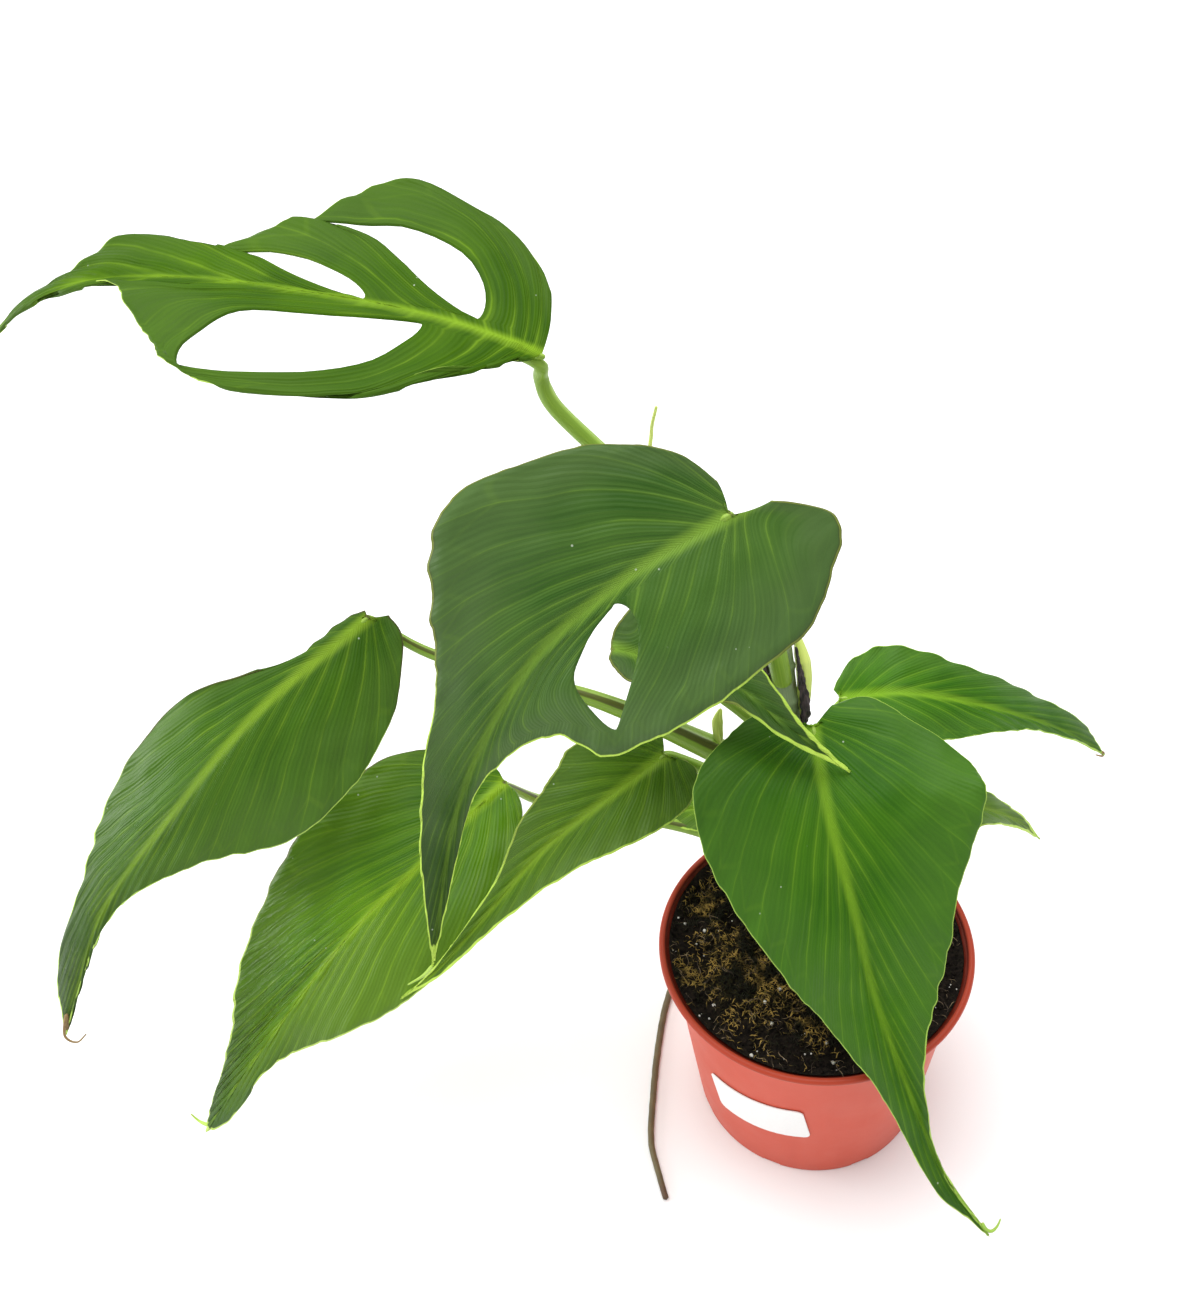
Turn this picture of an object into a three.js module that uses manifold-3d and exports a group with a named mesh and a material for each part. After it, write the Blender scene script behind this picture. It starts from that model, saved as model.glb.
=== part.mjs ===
// A potted flame monstera: ten leaves on a short climbing stem, in a 12 cm plastic nursery pot.
// Millimetres, +Z up. The origin is the centre of the pot's flat underside, on the table.
// The plant's left, right and front are those of somebody who looks along +Y.

import * as THREE from "three";
import { mergeVertices } from "three/addons/utils/BufferGeometryUtils.js";
import Module from "manifold-3d";

const wasm = await Module();
wasm.setup();

// Driving dimensions

const GAP = 0.3;                  // clearance between neighbouring pieces

const POT_HEIGHT = 95;
const RIM_RADIUS = 60;            // over the bead that ends the lip
const NECK_RADIUS = 55.2;         // outside of the wall, just under the lip
const FOOT_RADIUS = 46.5;         // outside of the wall, on the table
const WALL = 1.4;
const FLOOR = 1.6;
const LIP_DEPTH = 4;              // height of the flared lip and its bead

const SOIL_TOP = 85;              // the soil's level at the wall
const MOUND_HEIGHT = 6;           // the mossy mound over that level
const MOUND_CENTRE = [-14, -6];

const STEM_RADIUS = 4.7;
const STEM_PATH = [[-2, 8, 62], [-4, 14, 110], [-6, 22, 155], [-7.5, 30, 190], [-8.5, 38, 218]];
const NODE_SPACING = 13;          // from one leaf scar to the next along the stem

const BLADE = 0.8;                // thickness of a leaf blade
const COSTA = 1.5;                // how far the midrib stands out below the blade, at the stalk
const STALK_OVERLAP = 4;          // how far a stalk runs on under the midrib
const KNEE = 1.15;                // radius of the knee between stalk and blade, in stalk radii

const FINEST_EDGE = 0.06;         // cuts and joins leave no edge much shorter than this

// Solids

function solid(positions, triangles) {
  const geometry = new THREE.BufferGeometry();
  geometry.setAttribute("position", new THREE.Float32BufferAttribute(positions.flat(), 3));
  geometry.setIndex(triangles.flat());
  let volume = 0;
  for (const [a, b, c] of triangles) {
    const [p, q, r] = [a, b, c].map((i) => new THREE.Vector3(...positions[i]));
    volume += p.dot(q.cross(r)) / 6;
  }
  if (volume < 0) {
    geometry.setIndex(triangles.map(([a, b, c]) => [a, c, b]).flat());
  }
  return geometry;
}

function toManifold(geometry) {
  const bare = geometry.clone();
  bare.deleteAttribute("normal");
  bare.deleteAttribute("uv");
  const merged = mergeVertices(bare, 1e-4);
  const index = merged.getIndex().array;
  const kept = [];
  for (let i = 0; i < index.length; i += 3) {
    const [a, b, c] = index.slice(i, i + 3);
    if (a !== b && b !== c && a !== c) kept.push(a, b, c);
  }
  return new wasm.Manifold(new wasm.Mesh({
    numProp: 3,
    vertProperties: new Float32Array(merged.getAttribute("position").array),
    triVerts: new Uint32Array(kept),
  }));
}

// The largest piece of a cut or joined solid, without crumbs or needle-thin triangles.
function toGeometry(manifold) {
  const pieces = manifold.asOriginal().simplify(FINEST_EDGE).decompose();
  const largest = Math.max(...pieces.map((piece) => piece.volume()));
  const mesh = pieces.find((piece) => piece.volume() === largest).getMesh();
  const geometry = new THREE.BufferGeometry();
  geometry.setAttribute("position", new THREE.Float32BufferAttribute(mesh.vertProperties, 3));
  geometry.setIndex(Array.from(mesh.triVerts));
  return geometry;
}

function spline(points) {
  const vectors = points.map((p) => new THREE.Vector3(...p));
  return new THREE.CatmullRomCurve3(vectors, false, "catmullrom", 0.5);
}

// A value between the entries of a list, for t from 0 to 1.
function between(list, t) {
  const place = THREE.MathUtils.clamp(t, 0, 1) * (list.length - 1);
  const low = Math.min(Math.floor(place), list.length - 2);
  return THREE.MathUtils.lerp(list[low], list[low + 1], place - low);
}

// A round tube that tapers through a list of radii, closed at both ends.
function tube(points, radii, { sides = 8, steps = 16, swell = () => 1 } = {}) {
  const curve = spline(points);
  const frames = curve.computeFrenetFrames(steps, false);
  const positions = [];
  const triangles = [];
  for (let i = 0; i <= steps; i += 1) {
    const centre = curve.getPointAt(i / steps);
    const radius = between(radii, i / steps) * swell(i / steps);
    for (let j = 0; j < sides; j += 1) {
      const angle = (2 * Math.PI * j) / sides;
      const point = centre.clone();
      point.addScaledVector(frames.normals[i], radius * Math.cos(angle));
      point.addScaledVector(frames.binormals[i], radius * Math.sin(angle));
      positions.push(point.toArray());
    }
  }
  for (let i = 0; i < steps; i += 1) {
    for (let j = 0; j < sides; j += 1) {
      const a = i * sides + j;
      const b = i * sides + ((j + 1) % sides);
      triangles.push([a, b, b + sides], [a, b + sides, a + sides]);
    }
  }
  const last = steps * sides;
  for (let j = 1; j < sides - 1; j += 1) {
    triangles.push([0, j + 1, j], [last, last + j, last + j + 1]);
  }
  return solid(positions, triangles);
}

// Gives a sheet its thickness, with the same triangles on both faces and a wall along each edge.
function thicken(places, faces, thickness, ribs = places.map(() => 0)) {
  const known = new Map();
  const points = [];
  const costa = [];
  const merged = places.map((place, i) => {
    const key = place.map((value) => Math.round(value * 500)).join();
    if (!known.has(key)) {
      known.set(key, points.length);
      points.push(new THREE.Vector3(...place));
      costa.push(ribs[i]);
    }
    return known.get(key);
  });
  const triangles = faces.map((face) => face.map((i) => merged[i]))
    .filter(([a, b, c]) => a !== b && b !== c && a !== c);
  const normals = points.map(() => new THREE.Vector3());
  const edges = new Map();
  for (const [a, b, c] of triangles) {
    const normal = new THREE.Vector3().crossVectors(
      points[b].clone().sub(points[a]),
      points[c].clone().sub(points[a]),
    );
    for (const i of [a, b, c]) normals[i].add(normal);
    for (const [i, j] of [[a, b], [b, c], [c, a]]) {
      if (edges.has(`${j}_${i}`)) edges.delete(`${j}_${i}`);
      else edges.set(`${i}_${j}`, [i, j]);
    }
  }
  const count = points.length;
  const half = thickness / 2;
  const top = points.map((point, i) => point.clone().addScaledVector(normals[i].normalize(), half));
  const below = points.map((point, i) => point.clone().addScaledVector(normals[i], -half - costa[i]));
  const positions = [...top, ...below].map((point) => point.toArray());
  const skin = triangles.flatMap(([a, b, c]) => [[a, b, c], [a + count, c + count, b + count]]);
  for (const [i, j] of edges.values()) {
    skin.push([j, i, i + count], [j, i + count, j + count]);
  }
  return solid(positions, skin);
}

// Pot: a thin wall that widens upwards, a flared lip that ends in a bead, drain holes in the floor
// and notches at the foot

function wallRadius(z) {
  return FOOT_RADIUS + ((NECK_RADIUS - FOOT_RADIUS) * z) / (POT_HEIGHT - LIP_DEPTH);
}

function lathe(profile, segments) {
  const geometry = new THREE.LatheGeometry(profile.map(([r, z]) => new THREE.Vector2(r, z)), segments);
  geometry.rotateX(Math.PI / 2);
  return geometry;
}

const POT_SEGMENTS = 40;
const FOOT_ROUND = 1;
const BEAD = 2.8;                 // thickness of the bead
const BEAD_SHAPE = [              // its section from below round to the inside, as shares of BEAD
  [-0.43, -1],
  [0, -0.64],
  [-0.2, -0.1],
  [-0.5, 0],
  [-0.85, -0.2],
  [-1, -0.64],
];
const CORNER = 2;                 // bevel inside, between wall and floor
const DRAIN_HOLES = 6;
const DRAIN_RADIUS = 4;
const DRAIN_SIDES = 12;
const DRAIN_CIRCLE = 30;
const NOTCHES = 8;
const NOTCH_WIDTH = 7;
const NOTCH_HEIGHT = 2.2;
const NOTCH_BITE = 0.6;           // how deep a foot notch cuts into the wall
const NOTCH_TURN = 0.35;          // turn of the first notch, as a share of their spacing

function potGeometry() {
  const neck = POT_HEIGHT - LIP_DEPTH;
  let pot = toManifold(lathe([
    [0, 0],
    [FOOT_RADIUS - FOOT_ROUND, 0],
    [FOOT_RADIUS, FOOT_ROUND],
    [NECK_RADIUS, neck],
    ...BEAD_SHAPE.map(([out, up]) => [RIM_RADIUS + out * BEAD, POT_HEIGHT + up * BEAD]),
    [wallRadius(neck - 1) - WALL, neck - 1],
    [wallRadius(FLOOR + CORNER) - WALL, FLOOR + CORNER],
    [wallRadius(FLOOR) - WALL - CORNER, FLOOR],
    [0, FLOOR],
  ], POT_SEGMENTS));
  for (let i = 0; i < DRAIN_HOLES; i += 1) {
    const hole = new THREE.CylinderGeometry(DRAIN_RADIUS, DRAIN_RADIUS, 3 * FLOOR, DRAIN_SIDES);
    hole.rotateX(Math.PI / 2);
    const angle = (2 * Math.PI * i) / DRAIN_HOLES;
    hole.translate(DRAIN_CIRCLE * Math.cos(angle), DRAIN_CIRCLE * Math.sin(angle), FLOOR / 2);
    pot = pot.subtract(toManifold(hole));
  }
  for (let i = 0; i < NOTCHES; i += 1) {
    const notch = new THREE.BoxGeometry(NOTCH_WIDTH, NOTCH_WIDTH, 2 * NOTCH_HEIGHT);
    notch.translate(FOOT_RADIUS - NOTCH_BITE + NOTCH_WIDTH / 2, 0, 0);
    notch.rotateZ((2 * Math.PI * (i + NOTCH_TURN)) / NOTCHES);
    pot = pot.subtract(toManifold(notch));
  }
  return toGeometry(pot);
}

// Label: a blank sticker with rounded corners, wrapped on the front left of the wall

const LABEL_WIDTH = 40;
const LABEL_HEIGHT = 23;
const LABEL_CORNER = 2.5;
const LABEL_THICKNESS = 0.4;
const LABEL_COLUMNS = 10;
const LABEL_CORNER_COLUMNS = [0, 0.15, 0.5, 1];
const LABEL_MIDDLE = { angle: -125, z: 45 };
const LABEL_TILT = 9;             // degrees, right end up

function labelGeometry() {
  const [w, h, r] = [LABEL_WIDTH / 2, LABEL_HEIGHT / 2, LABEL_CORNER];
  const tilt = THREE.MathUtils.degToRad(LABEL_TILT);
  const left = LABEL_CORNER_COLUMNS.map((share) => share * r - w);
  const middle = Array.from({ length: LABEL_COLUMNS - 1 }, (_, i) => (2 * (i + 1)) / LABEL_COLUMNS - 1);
  const columns = [...left, ...middle.map((share) => share * (w - r)), ...left.map((x) => -x).reverse()];
  const places = [];
  const faces = [];
  columns.forEach((x, i) => {
    const past = Math.max(Math.abs(x) - (w - r), 0);
    const half = h - r + Math.sqrt(Math.max(r * r - past * past, 0));
    for (const y of [-half, half]) {
      const z = LABEL_MIDDLE.z + x * Math.sin(tilt) + y * Math.cos(tilt);
      const turn = (x * Math.cos(tilt) - y * Math.sin(tilt)) / wallRadius(LABEL_MIDDLE.z);
      const angle = THREE.MathUtils.degToRad(LABEL_MIDDLE.angle) + turn;
      const radius = wallRadius(z) + GAP + LABEL_THICKNESS / 2;
      places.push([radius * Math.cos(angle), radius * Math.sin(angle), z]);
    }
    if (i > 0) faces.push([2 * i - 2, 2 * i, 2 * i + 1], [2 * i - 2, 2 * i + 1, 2 * i - 1]);
  });
  return thicken(places, faces, LABEL_THICKNESS);
}

// Stem: a green climbing stem with a ring at each old leaf, standing in a plain hole in the soil

const STEM_TAPER = [1, 1, 1, 0.92, 0.6];
const STEM_STEPS = 39;
const SCAR_SWELL = 0.12;          // how far a leaf scar's ring stands out, as a share of the radius
const SCAR_SPREAD = 0.11;         // width of that ring, as a share of the spacing

function stemSwell(t) {
  const phase = ((t * spline(STEM_PATH).getLength()) / NODE_SPACING) % 1;
  return 1 + SCAR_SWELL * Math.exp(-(((phase - 0.5) / SCAR_SPREAD) ** 2));
}

// With room to spare all round, it is the space that soil and leaf bases leave free.
function stemGeometry(room = 0) {
  const path = STEM_PATH.map((point) => [...point]);
  path[0][2] -= room;
  path.at(-1)[2] += room;
  return tube(path, STEM_TAPER.map((share) => STEM_RADIUS * share + room), {
    sides: 8,
    steps: STEM_STEPS,
    swell: room > 0 ? () => 1 + SCAR_SWELL : stemSwell,
  });
}

const stemClearance = toManifold(stemGeometry(GAP));

// Soil: fills the pot to its level, with a low mound, crumbs raised from its surface and the stem's hole

const SOIL_RINGS = [0, 7, 14, 21, 28, 35, 42, 49.5];
const MOUND_WIDTH = 23;
const CRUMBS = [                  // height, then waves along X and Y, in radians a millimetre
  [0.9, 0.71, 0.2],
  [0.8, 0.29, 0.83],
  [0.6, 1.37, 1.37],
];

function soilHeight(x, y) {
  const away = Math.hypot(x - MOUND_CENTRE[0], y - MOUND_CENTRE[1]) / MOUND_WIDTH;
  const crumbs = CRUMBS.reduce((sum, [high, u, v], i) => sum + high * Math.sin(u * x + v * y + i), 0);
  return SOIL_TOP + MOUND_HEIGHT * Math.exp(-(away ** 2)) + crumbs;
}

function soilGeometry() {
  const edge = wallRadius(SOIL_TOP) - WALL - GAP;
  const geometry = lathe([
    [0, FLOOR + GAP],
    [wallRadius(FLOOR) - WALL - CORNER - GAP, FLOOR + GAP],
    [wallRadius(FLOOR + CORNER) - WALL - GAP, FLOOR + CORNER + GAP],
    [edge, SOIL_TOP],
    ...[...SOIL_RINGS].reverse().map((r) => [r, SOIL_TOP]),
  ], POT_SEGMENTS);
  geometry.deleteAttribute("normal");
  geometry.deleteAttribute("uv");
  const merged = mergeVertices(geometry, 1e-3);
  const place = merged.getAttribute("position");
  for (let i = 0; i < place.count; i += 1) {
    const [x, y] = [place.getX(i), place.getY(i)];
    const inside = Math.hypot(x, y) < edge - WALL;
    if (inside && place.getZ(i) > SOIL_TOP / 2) place.setZ(i, soilHeight(x, y));
  }
  return toGeometry(toManifold(merged).subtract(stemClearance));
}

// Leaves. A blade is laid out flat first: along runs from the stalk to the tip, across to either side.
// Its side veins leave the midrib in pairs at VEIN_STARTS, as shares of the blade's length. Each
// leaf lists where those veins meet the margin on its two sides, [along, across]. The flat layout
// is then bent on to the midrib's curve in space, facing the way of face. fold is how far the near
// and the far half rise at the midrib, in degrees, and bend how far they arch down, in degrees over
// 100 mm. Round a hole the vein that it lies on splits in two, between two shares of its length.

const VEIN_STARTS = [0, 0, 0, 0.05, 0.13, 0.25, 0.4, 0.58, 0.78, 1];
const ROWS_BETWEEN_VEINS = 2;
const VEIN_BOW = 0.1;             // how far a side vein bows towards the stalk, as a share of its length
const HOLE_ROUND = 0.8;           // under 1 makes a hole's ends blunter

const LEAF_COLUMNS = [0, 0.06, 0.3, 0.55, 0.8, 1];
const SMALL_LEAF_COLUMNS = [0, 0.1, 0.4, 0.75, 1];

const LEAVES = {
  leaf_a: {
    midrib: [[-78, 70, 318], [-108, 80, 328], [-145, 93, 334], [-195, 115, 335], [-238, 132, 328],
      [-269, 144, 310], [-281, 151, 300]],
    face: [0, -0.15, 1],
    fold: [2, 10],
    bend: [35, 8],
    starts: [0, 0.02, 0.04, 0.085, 0.15, 0.24, 0.37, 0.53, 0.74, 1],
    far: [[5, 24], [30, 47], [64, 57], [87, 28], [97, 30], [120, 13], [154, 21], [171, 9], [196, 4]],
    near: [[3, -3], [20, -18], [51, -36], [82, -43], [106, -38], [126, -24], [149, -4], [171, -2],
      [196, -2]],
    bow: [0.1, 0.2, 0.3, 0.33, 0.2, 0.14, 0.1, 0.1, 0.1],
    columns: [0, 0.06, 0.28, 0.52, 0.76, 0.9, 0.96, 1],
    holes: [
      { side: 1, vein: 3, from: 0.06, to: 0.96, wide: 13 },
      { side: 1, vein: 5, from: 0.06, to: 0.96, wide: 5 },
      { side: -1, vein: 4, from: 0.06, to: 0.96, wide: 13 },
    ],
    stalk: [[-9, 39, 209], [-18.5, 45, 226], [-34, 52, 247], [-50, 63, 266], [-68, 69, 285], [-79, 72, 299],
      [-81, 74, 308], [-79, 71, 317]],
    stalkRadii: [3.9, 3.8, 3.5, 3.2, 3, 2.9, 2.8],
  },
  leaf_b: {
    midrib: [[-30, 3, 300], [-64, -8, 288], [-93, -12, 262], [-120, -14, 210], [-138, -31, 150]],
    face: [0, -0.75, 0.65],
    fold: [8, 8],
    bend: [30, 30],
    far: [[-2, 10], [3, 21], [16, 32], [36, 42], [58, 48], [76, 33], [98, 20], [130, 13], [172, 6]],
    near: [[-12, -3], [-25, -16], [-16, -29], [2, -40], [40, -43], [78, -36], [89, -17], [122, -5],
      [164, -3]],
    starts: [0, 0, 0, 0.04, 0.1, 0.19, 0.34, 0.54, 0.76, 1],
    columns: [0, 0.1, 0.32, 0.6, 0.88, 1],
    holes: [{ side: -1, vein: 5, from: 0.08, to: 0.88, wide: 11 }],
    stalk: [[-8, 32, 203], [-14, 27, 236], [-24, 15, 274], [-30, 4, 297]],
    stalkRadii: [3.5, 3.4, 3, 2.8],
  },
  leaf_c: {
    midrib: [[-147, 50, 238], [-185, 28, 222], [-219, 10, 196], [-255, -1, 158], [-282, -14, 108]],
    face: [-0.2, -0.6, 0.75],
    fold: [-12, -15],
    bend: [50, 10],
    far: [[-1, 3], [6, 6], [16, 6], [28, 6], [46, 15], [74, 30], [110, 30], [144, 18], [184, 13]],
    near: [[-6, -4], [-5, -12], [2, -20], [16, -32], [42, -40], [76, -37], [104, -17], [136, -5], [176, -2]],
    stalk: [[-6, 22, 158], [-36, 29, 182], [-74, 32, 212], [-126, 38, 234], [-147, 50, 237]],
    stalkRadii: [4.4, 4, 2.4, 2, 2],
  },
  leaf_d: {
    midrib: [[-111, 41, 158], [-143, 11, 152], [-172, -4, 134], [-213, -21, 92], [-243, -29, 54]],
    face: [-0.1, -0.5, 0.85],
    fold: [2, 8],
    bend: [40, 30],
    far: [[-2, 7], [2, 20], [12, 31], [30, 40], [62, 41], [92, 35], [120, 26], [146, 12], [176, 5]],
    near: [[1, -3], [2, -10], [10, -17], [26, -24], [52, -32], [84, -31], [114, -19], [142, -7], [176, -6]],
    stalk: [[-4, 15, 120], [-40, 34, 136], [-80, 46, 150], [-111, 42, 157]],
    stalkRadii: [3.6, 2.6, 2.2, 2.1],
  },
  leaf_e: {
    midrib: [[-51, 33, 172], [-74, 15, 172], [-97, 0, 167], [-117, -12, 153], [-138, -24, 138],
      [-153, -27, 127]],
    face: [0, -0.6, 0.8],
    fold: [8, 8],
    bend: [40, 40],
    far: [[-4, 6], [2, 13], [11, 17], [19, 21], [29, 22], [42, 17], [58, 12], [74, 6], [96, 3]],
    near: [[-4, -5], [-6, -10], [-4, -14], [6, -20], [22, -20], [40, -16], [62, -11], [84, -6], [108, -3]],
    columns: SMALL_LEAF_COLUMNS,
    stalk: [[-5, 18, 136], [-26, 28, 157], [-46, 34, 169], [-51, 33, 171]],
    stalkRadii: [3.4, 2.4, 2.2],
  },
  leaf_f: {
    midrib: [[0, 18, 194], [0, -10, 182], [5, -32, 157], [11, -48, 125], [23, -70, 86], [46, -95, 40]],
    face: [0, -0.7, 0.7],
    fold: [8, 8],
    bend: [30, 30],
    far: [[-4, 12], [-6, 21], [4, 33], [21, 44], [46, 41], [76, 31], [106, 21], [138, 13], [176, 8]],
    near: [[-8, -8], [-9, -20], [1, -33], [20, -51], [45, -49], [70, -37], [98, -24], [126, -10], [162, -3]],
    stalk: [[-3, 16, 124], [6, 17, 152], [8, 22, 178], [1, 21, 191]],
    stalkRadii: [3.6, 2.8, 2.4, 2.3],
  },
  leaf_g: {
    midrib: [[18, 52, 172], [39, 46, 178], [71, 46, 166], [105, 52, 142], [129, 57, 118]],
    face: [0.1, -0.3, 0.95],
    fold: [5, 5],
    bend: [30, 30],
    far: [[-3, 5], [-1, 9], [4, 13], [14, 19], [30, 19], [46, 15], [64, 10], [84, 5], [108, 3]],
    near: [[-3, -4], [-1, -9], [3, -15], [14, -19], [32, -18], [52, -15], [76, -14], [98, -11], [118, -8]],
    columns: SMALL_LEAF_COLUMNS,
    stalk: [[-5, 21, 142], [6, 42, 159], [18, 53, 171]],
    stalkRadii: [3.4, 2.4, 2],
  },
  leaf_h: {
    midrib: [[32, 54, 128], [62, 42, 120], [90, 46, 98], [106, 49, 78]],
    face: [0.1, -0.3, 0.95],
    fold: [5, 5],
    bend: [30, 30],
    far: [[-3, 5], [-4, 10], [0, 15], [9, 18], [22, 18], [36, 15], [48, 9], [62, 6], [78, 3]],
    near: [[-3, -5], [-4, -9], [0, -12], [8, -14], [18, -14], [32, -12], [50, -8], [64, -6], [78, -4]],
    columns: SMALL_LEAF_COLUMNS,
    stalk: [[-3, 13, 104], [14, 36, 116], [32, 54, 127]],
    stalkRadii: [3, 2.2, 1.9],
  },
  leaf_i: {
    midrib: [[-23, 46, 126], [-38, 45, 127], [-56, 50, 119]],
    face: [-0.1, -0.3, 0.95],
    fold: [5, 5],
    bend: [30, 30],
    far: [[-2, 3], [-2, 6], [1, 9], [6, 12], [12, 12], [17, 10], [22, 8], [26, 5], [30, 2]],
    near: [[-2, -3], [-2, -6], [1, -9], [6, -12], [12, -12], [17, -10], [22, -8], [26, -5], [30, -2]],
    columns: SMALL_LEAF_COLUMNS,
    stalk: [[-3, 12, 98], [-12, 31, 110], [-23, 46, 125]],
    stalkRadii: [2.4, 1.8, 1.5],
  },
  leaf_j: {
    midrib: [[-54, 36, 218], [-28, 21, 216], [-11, 8, 206], [9, 0, 190]],
    face: [0.3, -0.3, 0.9],
    fold: [35, 35],
    bend: [0, 0],
    far: [[-3, 4], [-4, 9], [0, 13], [6, 15], [14, 14], [24, 11], [36, 9], [50, 7], [66, 4]],
    near: [[-8, -5], [-14, -12], [-12, -19], [-2, -22], [12, -18], [26, -12], [38, -8], [52, -5], [66, -3]],
    columns: SMALL_LEAF_COLUMNS,
    stalk: [[-6, 26, 172], [-24, 33, 192], [-44, 39, 208], [-54, 37, 217]],
    stalkRadii: [3, 2, 1.8, 1.6],
  },
};

// A value between the rows of a table of numbers, on a smooth curve through them.
function through(rows, place) {
  const low = Math.min(Math.floor(place), rows.length - 2);
  const t = place - low;
  const at = (i) => rows[THREE.MathUtils.clamp(i, 0, rows.length - 1)];
  return rows[0].map((_, k) => {
    const [a, b, c, d] = [at(low - 1)[k], at(low)[k], at(low + 1)[k], at(low + 2)[k]];
    return 0.5 * (2 * b + (c - a) * t + (2 * a - 5 * b + 4 * c - d) * t * t
      + (3 * b - 3 * c + d - a) * t * t * t);
  });
}

// The flat places of one half's points: one row for each side vein, out from the midrib.
function flatRows(leaf, side, length) {
  const starts = leaf.starts ?? VEIN_STARTS;
  const columns = leaf.columns ?? LEAF_COLUMNS;
  const margin = [...(side > 0 ? leaf.far : leaf.near), [length, 0]];
  const veins = margin.map(([along, across], i) => [along, across, starts[i] * length,
    leaf.bow?.[i] ?? VEIN_BOW]);
  const holes = (leaf.holes ?? []).filter((hole) => hole.side === side);
  const rows = [];
  const last = veins.length - 1;
  for (let i = 0; i <= last * ROWS_BETWEEN_VEINS; i += 1) {
    const place = i / ROWS_BETWEEN_VEINS;
    // A hole's own vein gives two rows, one for each bank.
    const banks = holes.some((hole) => hole.vein === place) ? [-1, 1] : [0];
    for (const bank of banks) {
      const [along, across, start, bow] = through(veins, place);
      const [dx, dy] = [along - start, across];
      const elbow = [start + dx / 2 - Math.abs(dy) * bow, dy / 2 + side * Math.abs(dx) * bow];
      const row = columns.map((t) => {
        const [a, b, c] = [(1 - t) ** 2, 2 * t * (1 - t), t * t];
        return [a * start + b * elbow[0] + c * along, b * elbow[1] + c * across];
      });
      for (const hole of holes) {
        const away = place - hole.vein;
        const reach = hole.wide * Math.max(1 - Math.abs(away), 0);
        const size = Math.hypot(dx, dy) || 1;
        columns.forEach((t, j) => {
          const inside = THREE.MathUtils.clamp((t - hole.from) / (hole.to - hole.from), 0, 1);
          const push = Math.sign(away || bank) * reach * Math.sin(Math.PI * inside) ** HOLE_ROUND;
          row[j][0] += (push * Math.abs(dy)) / size;
          row[j][1] -= (side * push * dx) / size;
        });
      }
      rows.push({ start, row, opens: bank < 0 });
    }
  }
  return rows;
}

// The place in space of a flat place of the blade, and the blade's upward direction there.
function bladeFrame(leaf, curve, length, along) {
  const t = THREE.MathUtils.clamp(along / length, 0, 1);
  const tangent = curve.getTangentAt(t);
  const point = curve.getPointAt(t).addScaledVector(tangent, along - t * length);
  const face = new THREE.Vector3(...leaf.face).normalize();
  const up = face.addScaledVector(tangent, -face.dot(tangent)).normalize();
  const right = new THREE.Vector3().crossVectors(tangent, up);
  return { point, up, right };
}

function bladePoint(leaf, curve, length, along, across) {
  const { point, up, right } = bladeFrame(leaf, curve, length, along);
  const half = across < 0 ? 0 : 1;
  const fold = THREE.MathUtils.degToRad(leaf.fold[half]);
  const bend = Math.max(THREE.MathUtils.degToRad(leaf.bend[half]) / 100, 1e-6);
  const reach = Math.abs(across);
  const out = (Math.sin(fold) - Math.sin(fold - bend * reach)) / bend;
  const rise = (Math.cos(fold - bend * reach) - Math.cos(fold)) / bend;
  return point.addScaledVector(right, Math.sign(across) * out).addScaledVector(up, rise);
}

function bladeGeometry(leaf) {
  const curve = spline(leaf.midrib);
  const length = curve.getLength();
  const places = [];
  const ribs = [];
  const faces = [];
  for (const side of [-1, 1]) {
    const rows = flatRows(leaf, side, length);
    const first = places.length;
    const wide = rows[0].row.length;
    for (const { start, row } of rows) {
      row.forEach(([along, across], j) => {
        places.push(bladePoint(leaf, curve, length, along, across).toArray());
        ribs.push(j === 0 ? COSTA * (1 - start / length) : 0);
      });
    }
    for (let i = 0; i < rows.length - 1; i += 1) {
      if (rows[i].opens) continue;
      for (let j = 0; j < wide - 1; j += 1) {
        const a = first + i * wide + j;
        const quad = [a, a + 1, a + wide + 1, a + wide];
        const [p, q, r, s] = side > 0 ? quad : [...quad].reverse();
        faces.push([p, q, r], [p, r, s]);
      }
    }
  }
  return thicken(places, faces, BLADE, ribs);
}

function leafGeometry(leaf) {
  const blade = toManifold(bladeGeometry(leaf));
  const curve = spline(leaf.midrib);
  const { point, up } = bladeFrame(leaf, curve, curve.getLength(), STALK_OVERLAP);
  const path = [...leaf.stalk, point.addScaledVector(up, -COSTA).toArray()];
  const stalk = toManifold(tube(path, [...leaf.stalkRadii, COSTA], { sides: 7, steps: 11 }));
  const knee = new THREE.SphereGeometry(KNEE * leaf.stalkRadii.at(-1), 9, 7);
  knee.translate(...leaf.midrib[0]);
  return toGeometry(blade.add(stalk).add(toManifold(knee)).subtract(stemClearance));
}

// The new leaf, still rolled, with its pale sheath, and the brown papery remains of older sheaths

const NEW_LEAF_PATH = [[-8.6, 38.4, 218.7], [-12, 48, 238], [-28, 57, 260], [-45, 62, 280],
  [-46, 64, 290], [-44, 62, 301]];
const NEW_LEAF_RADII = [1.6, 3, 2, 0.8, 0.5];
const NEW_SHEATH_PATH = [[-2.1, 29, 186], [1, 33, 197], [1, 36, 209], [-2, 39, 223]];
const NEW_SHEATH_RADII = [0.8, 2.4, 2.4, 0.6];
const DRY_SHEATHS = [
  { path: [[-2.6, 25.4, 185], [-1, 27, 195], [-2.4, 30, 208], [-4, 32, 220]], radii: [1.2, 1, 0.7, 0.4] },
  { path: [[-12.3, 31, 196], [-13.4, 33, 204], [-14, 35, 212]], radii: [0.5, 1.1, 0.5] },
];

// Aerial root: from the stem over the back of the rim, down the wall and forward on the table

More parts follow.
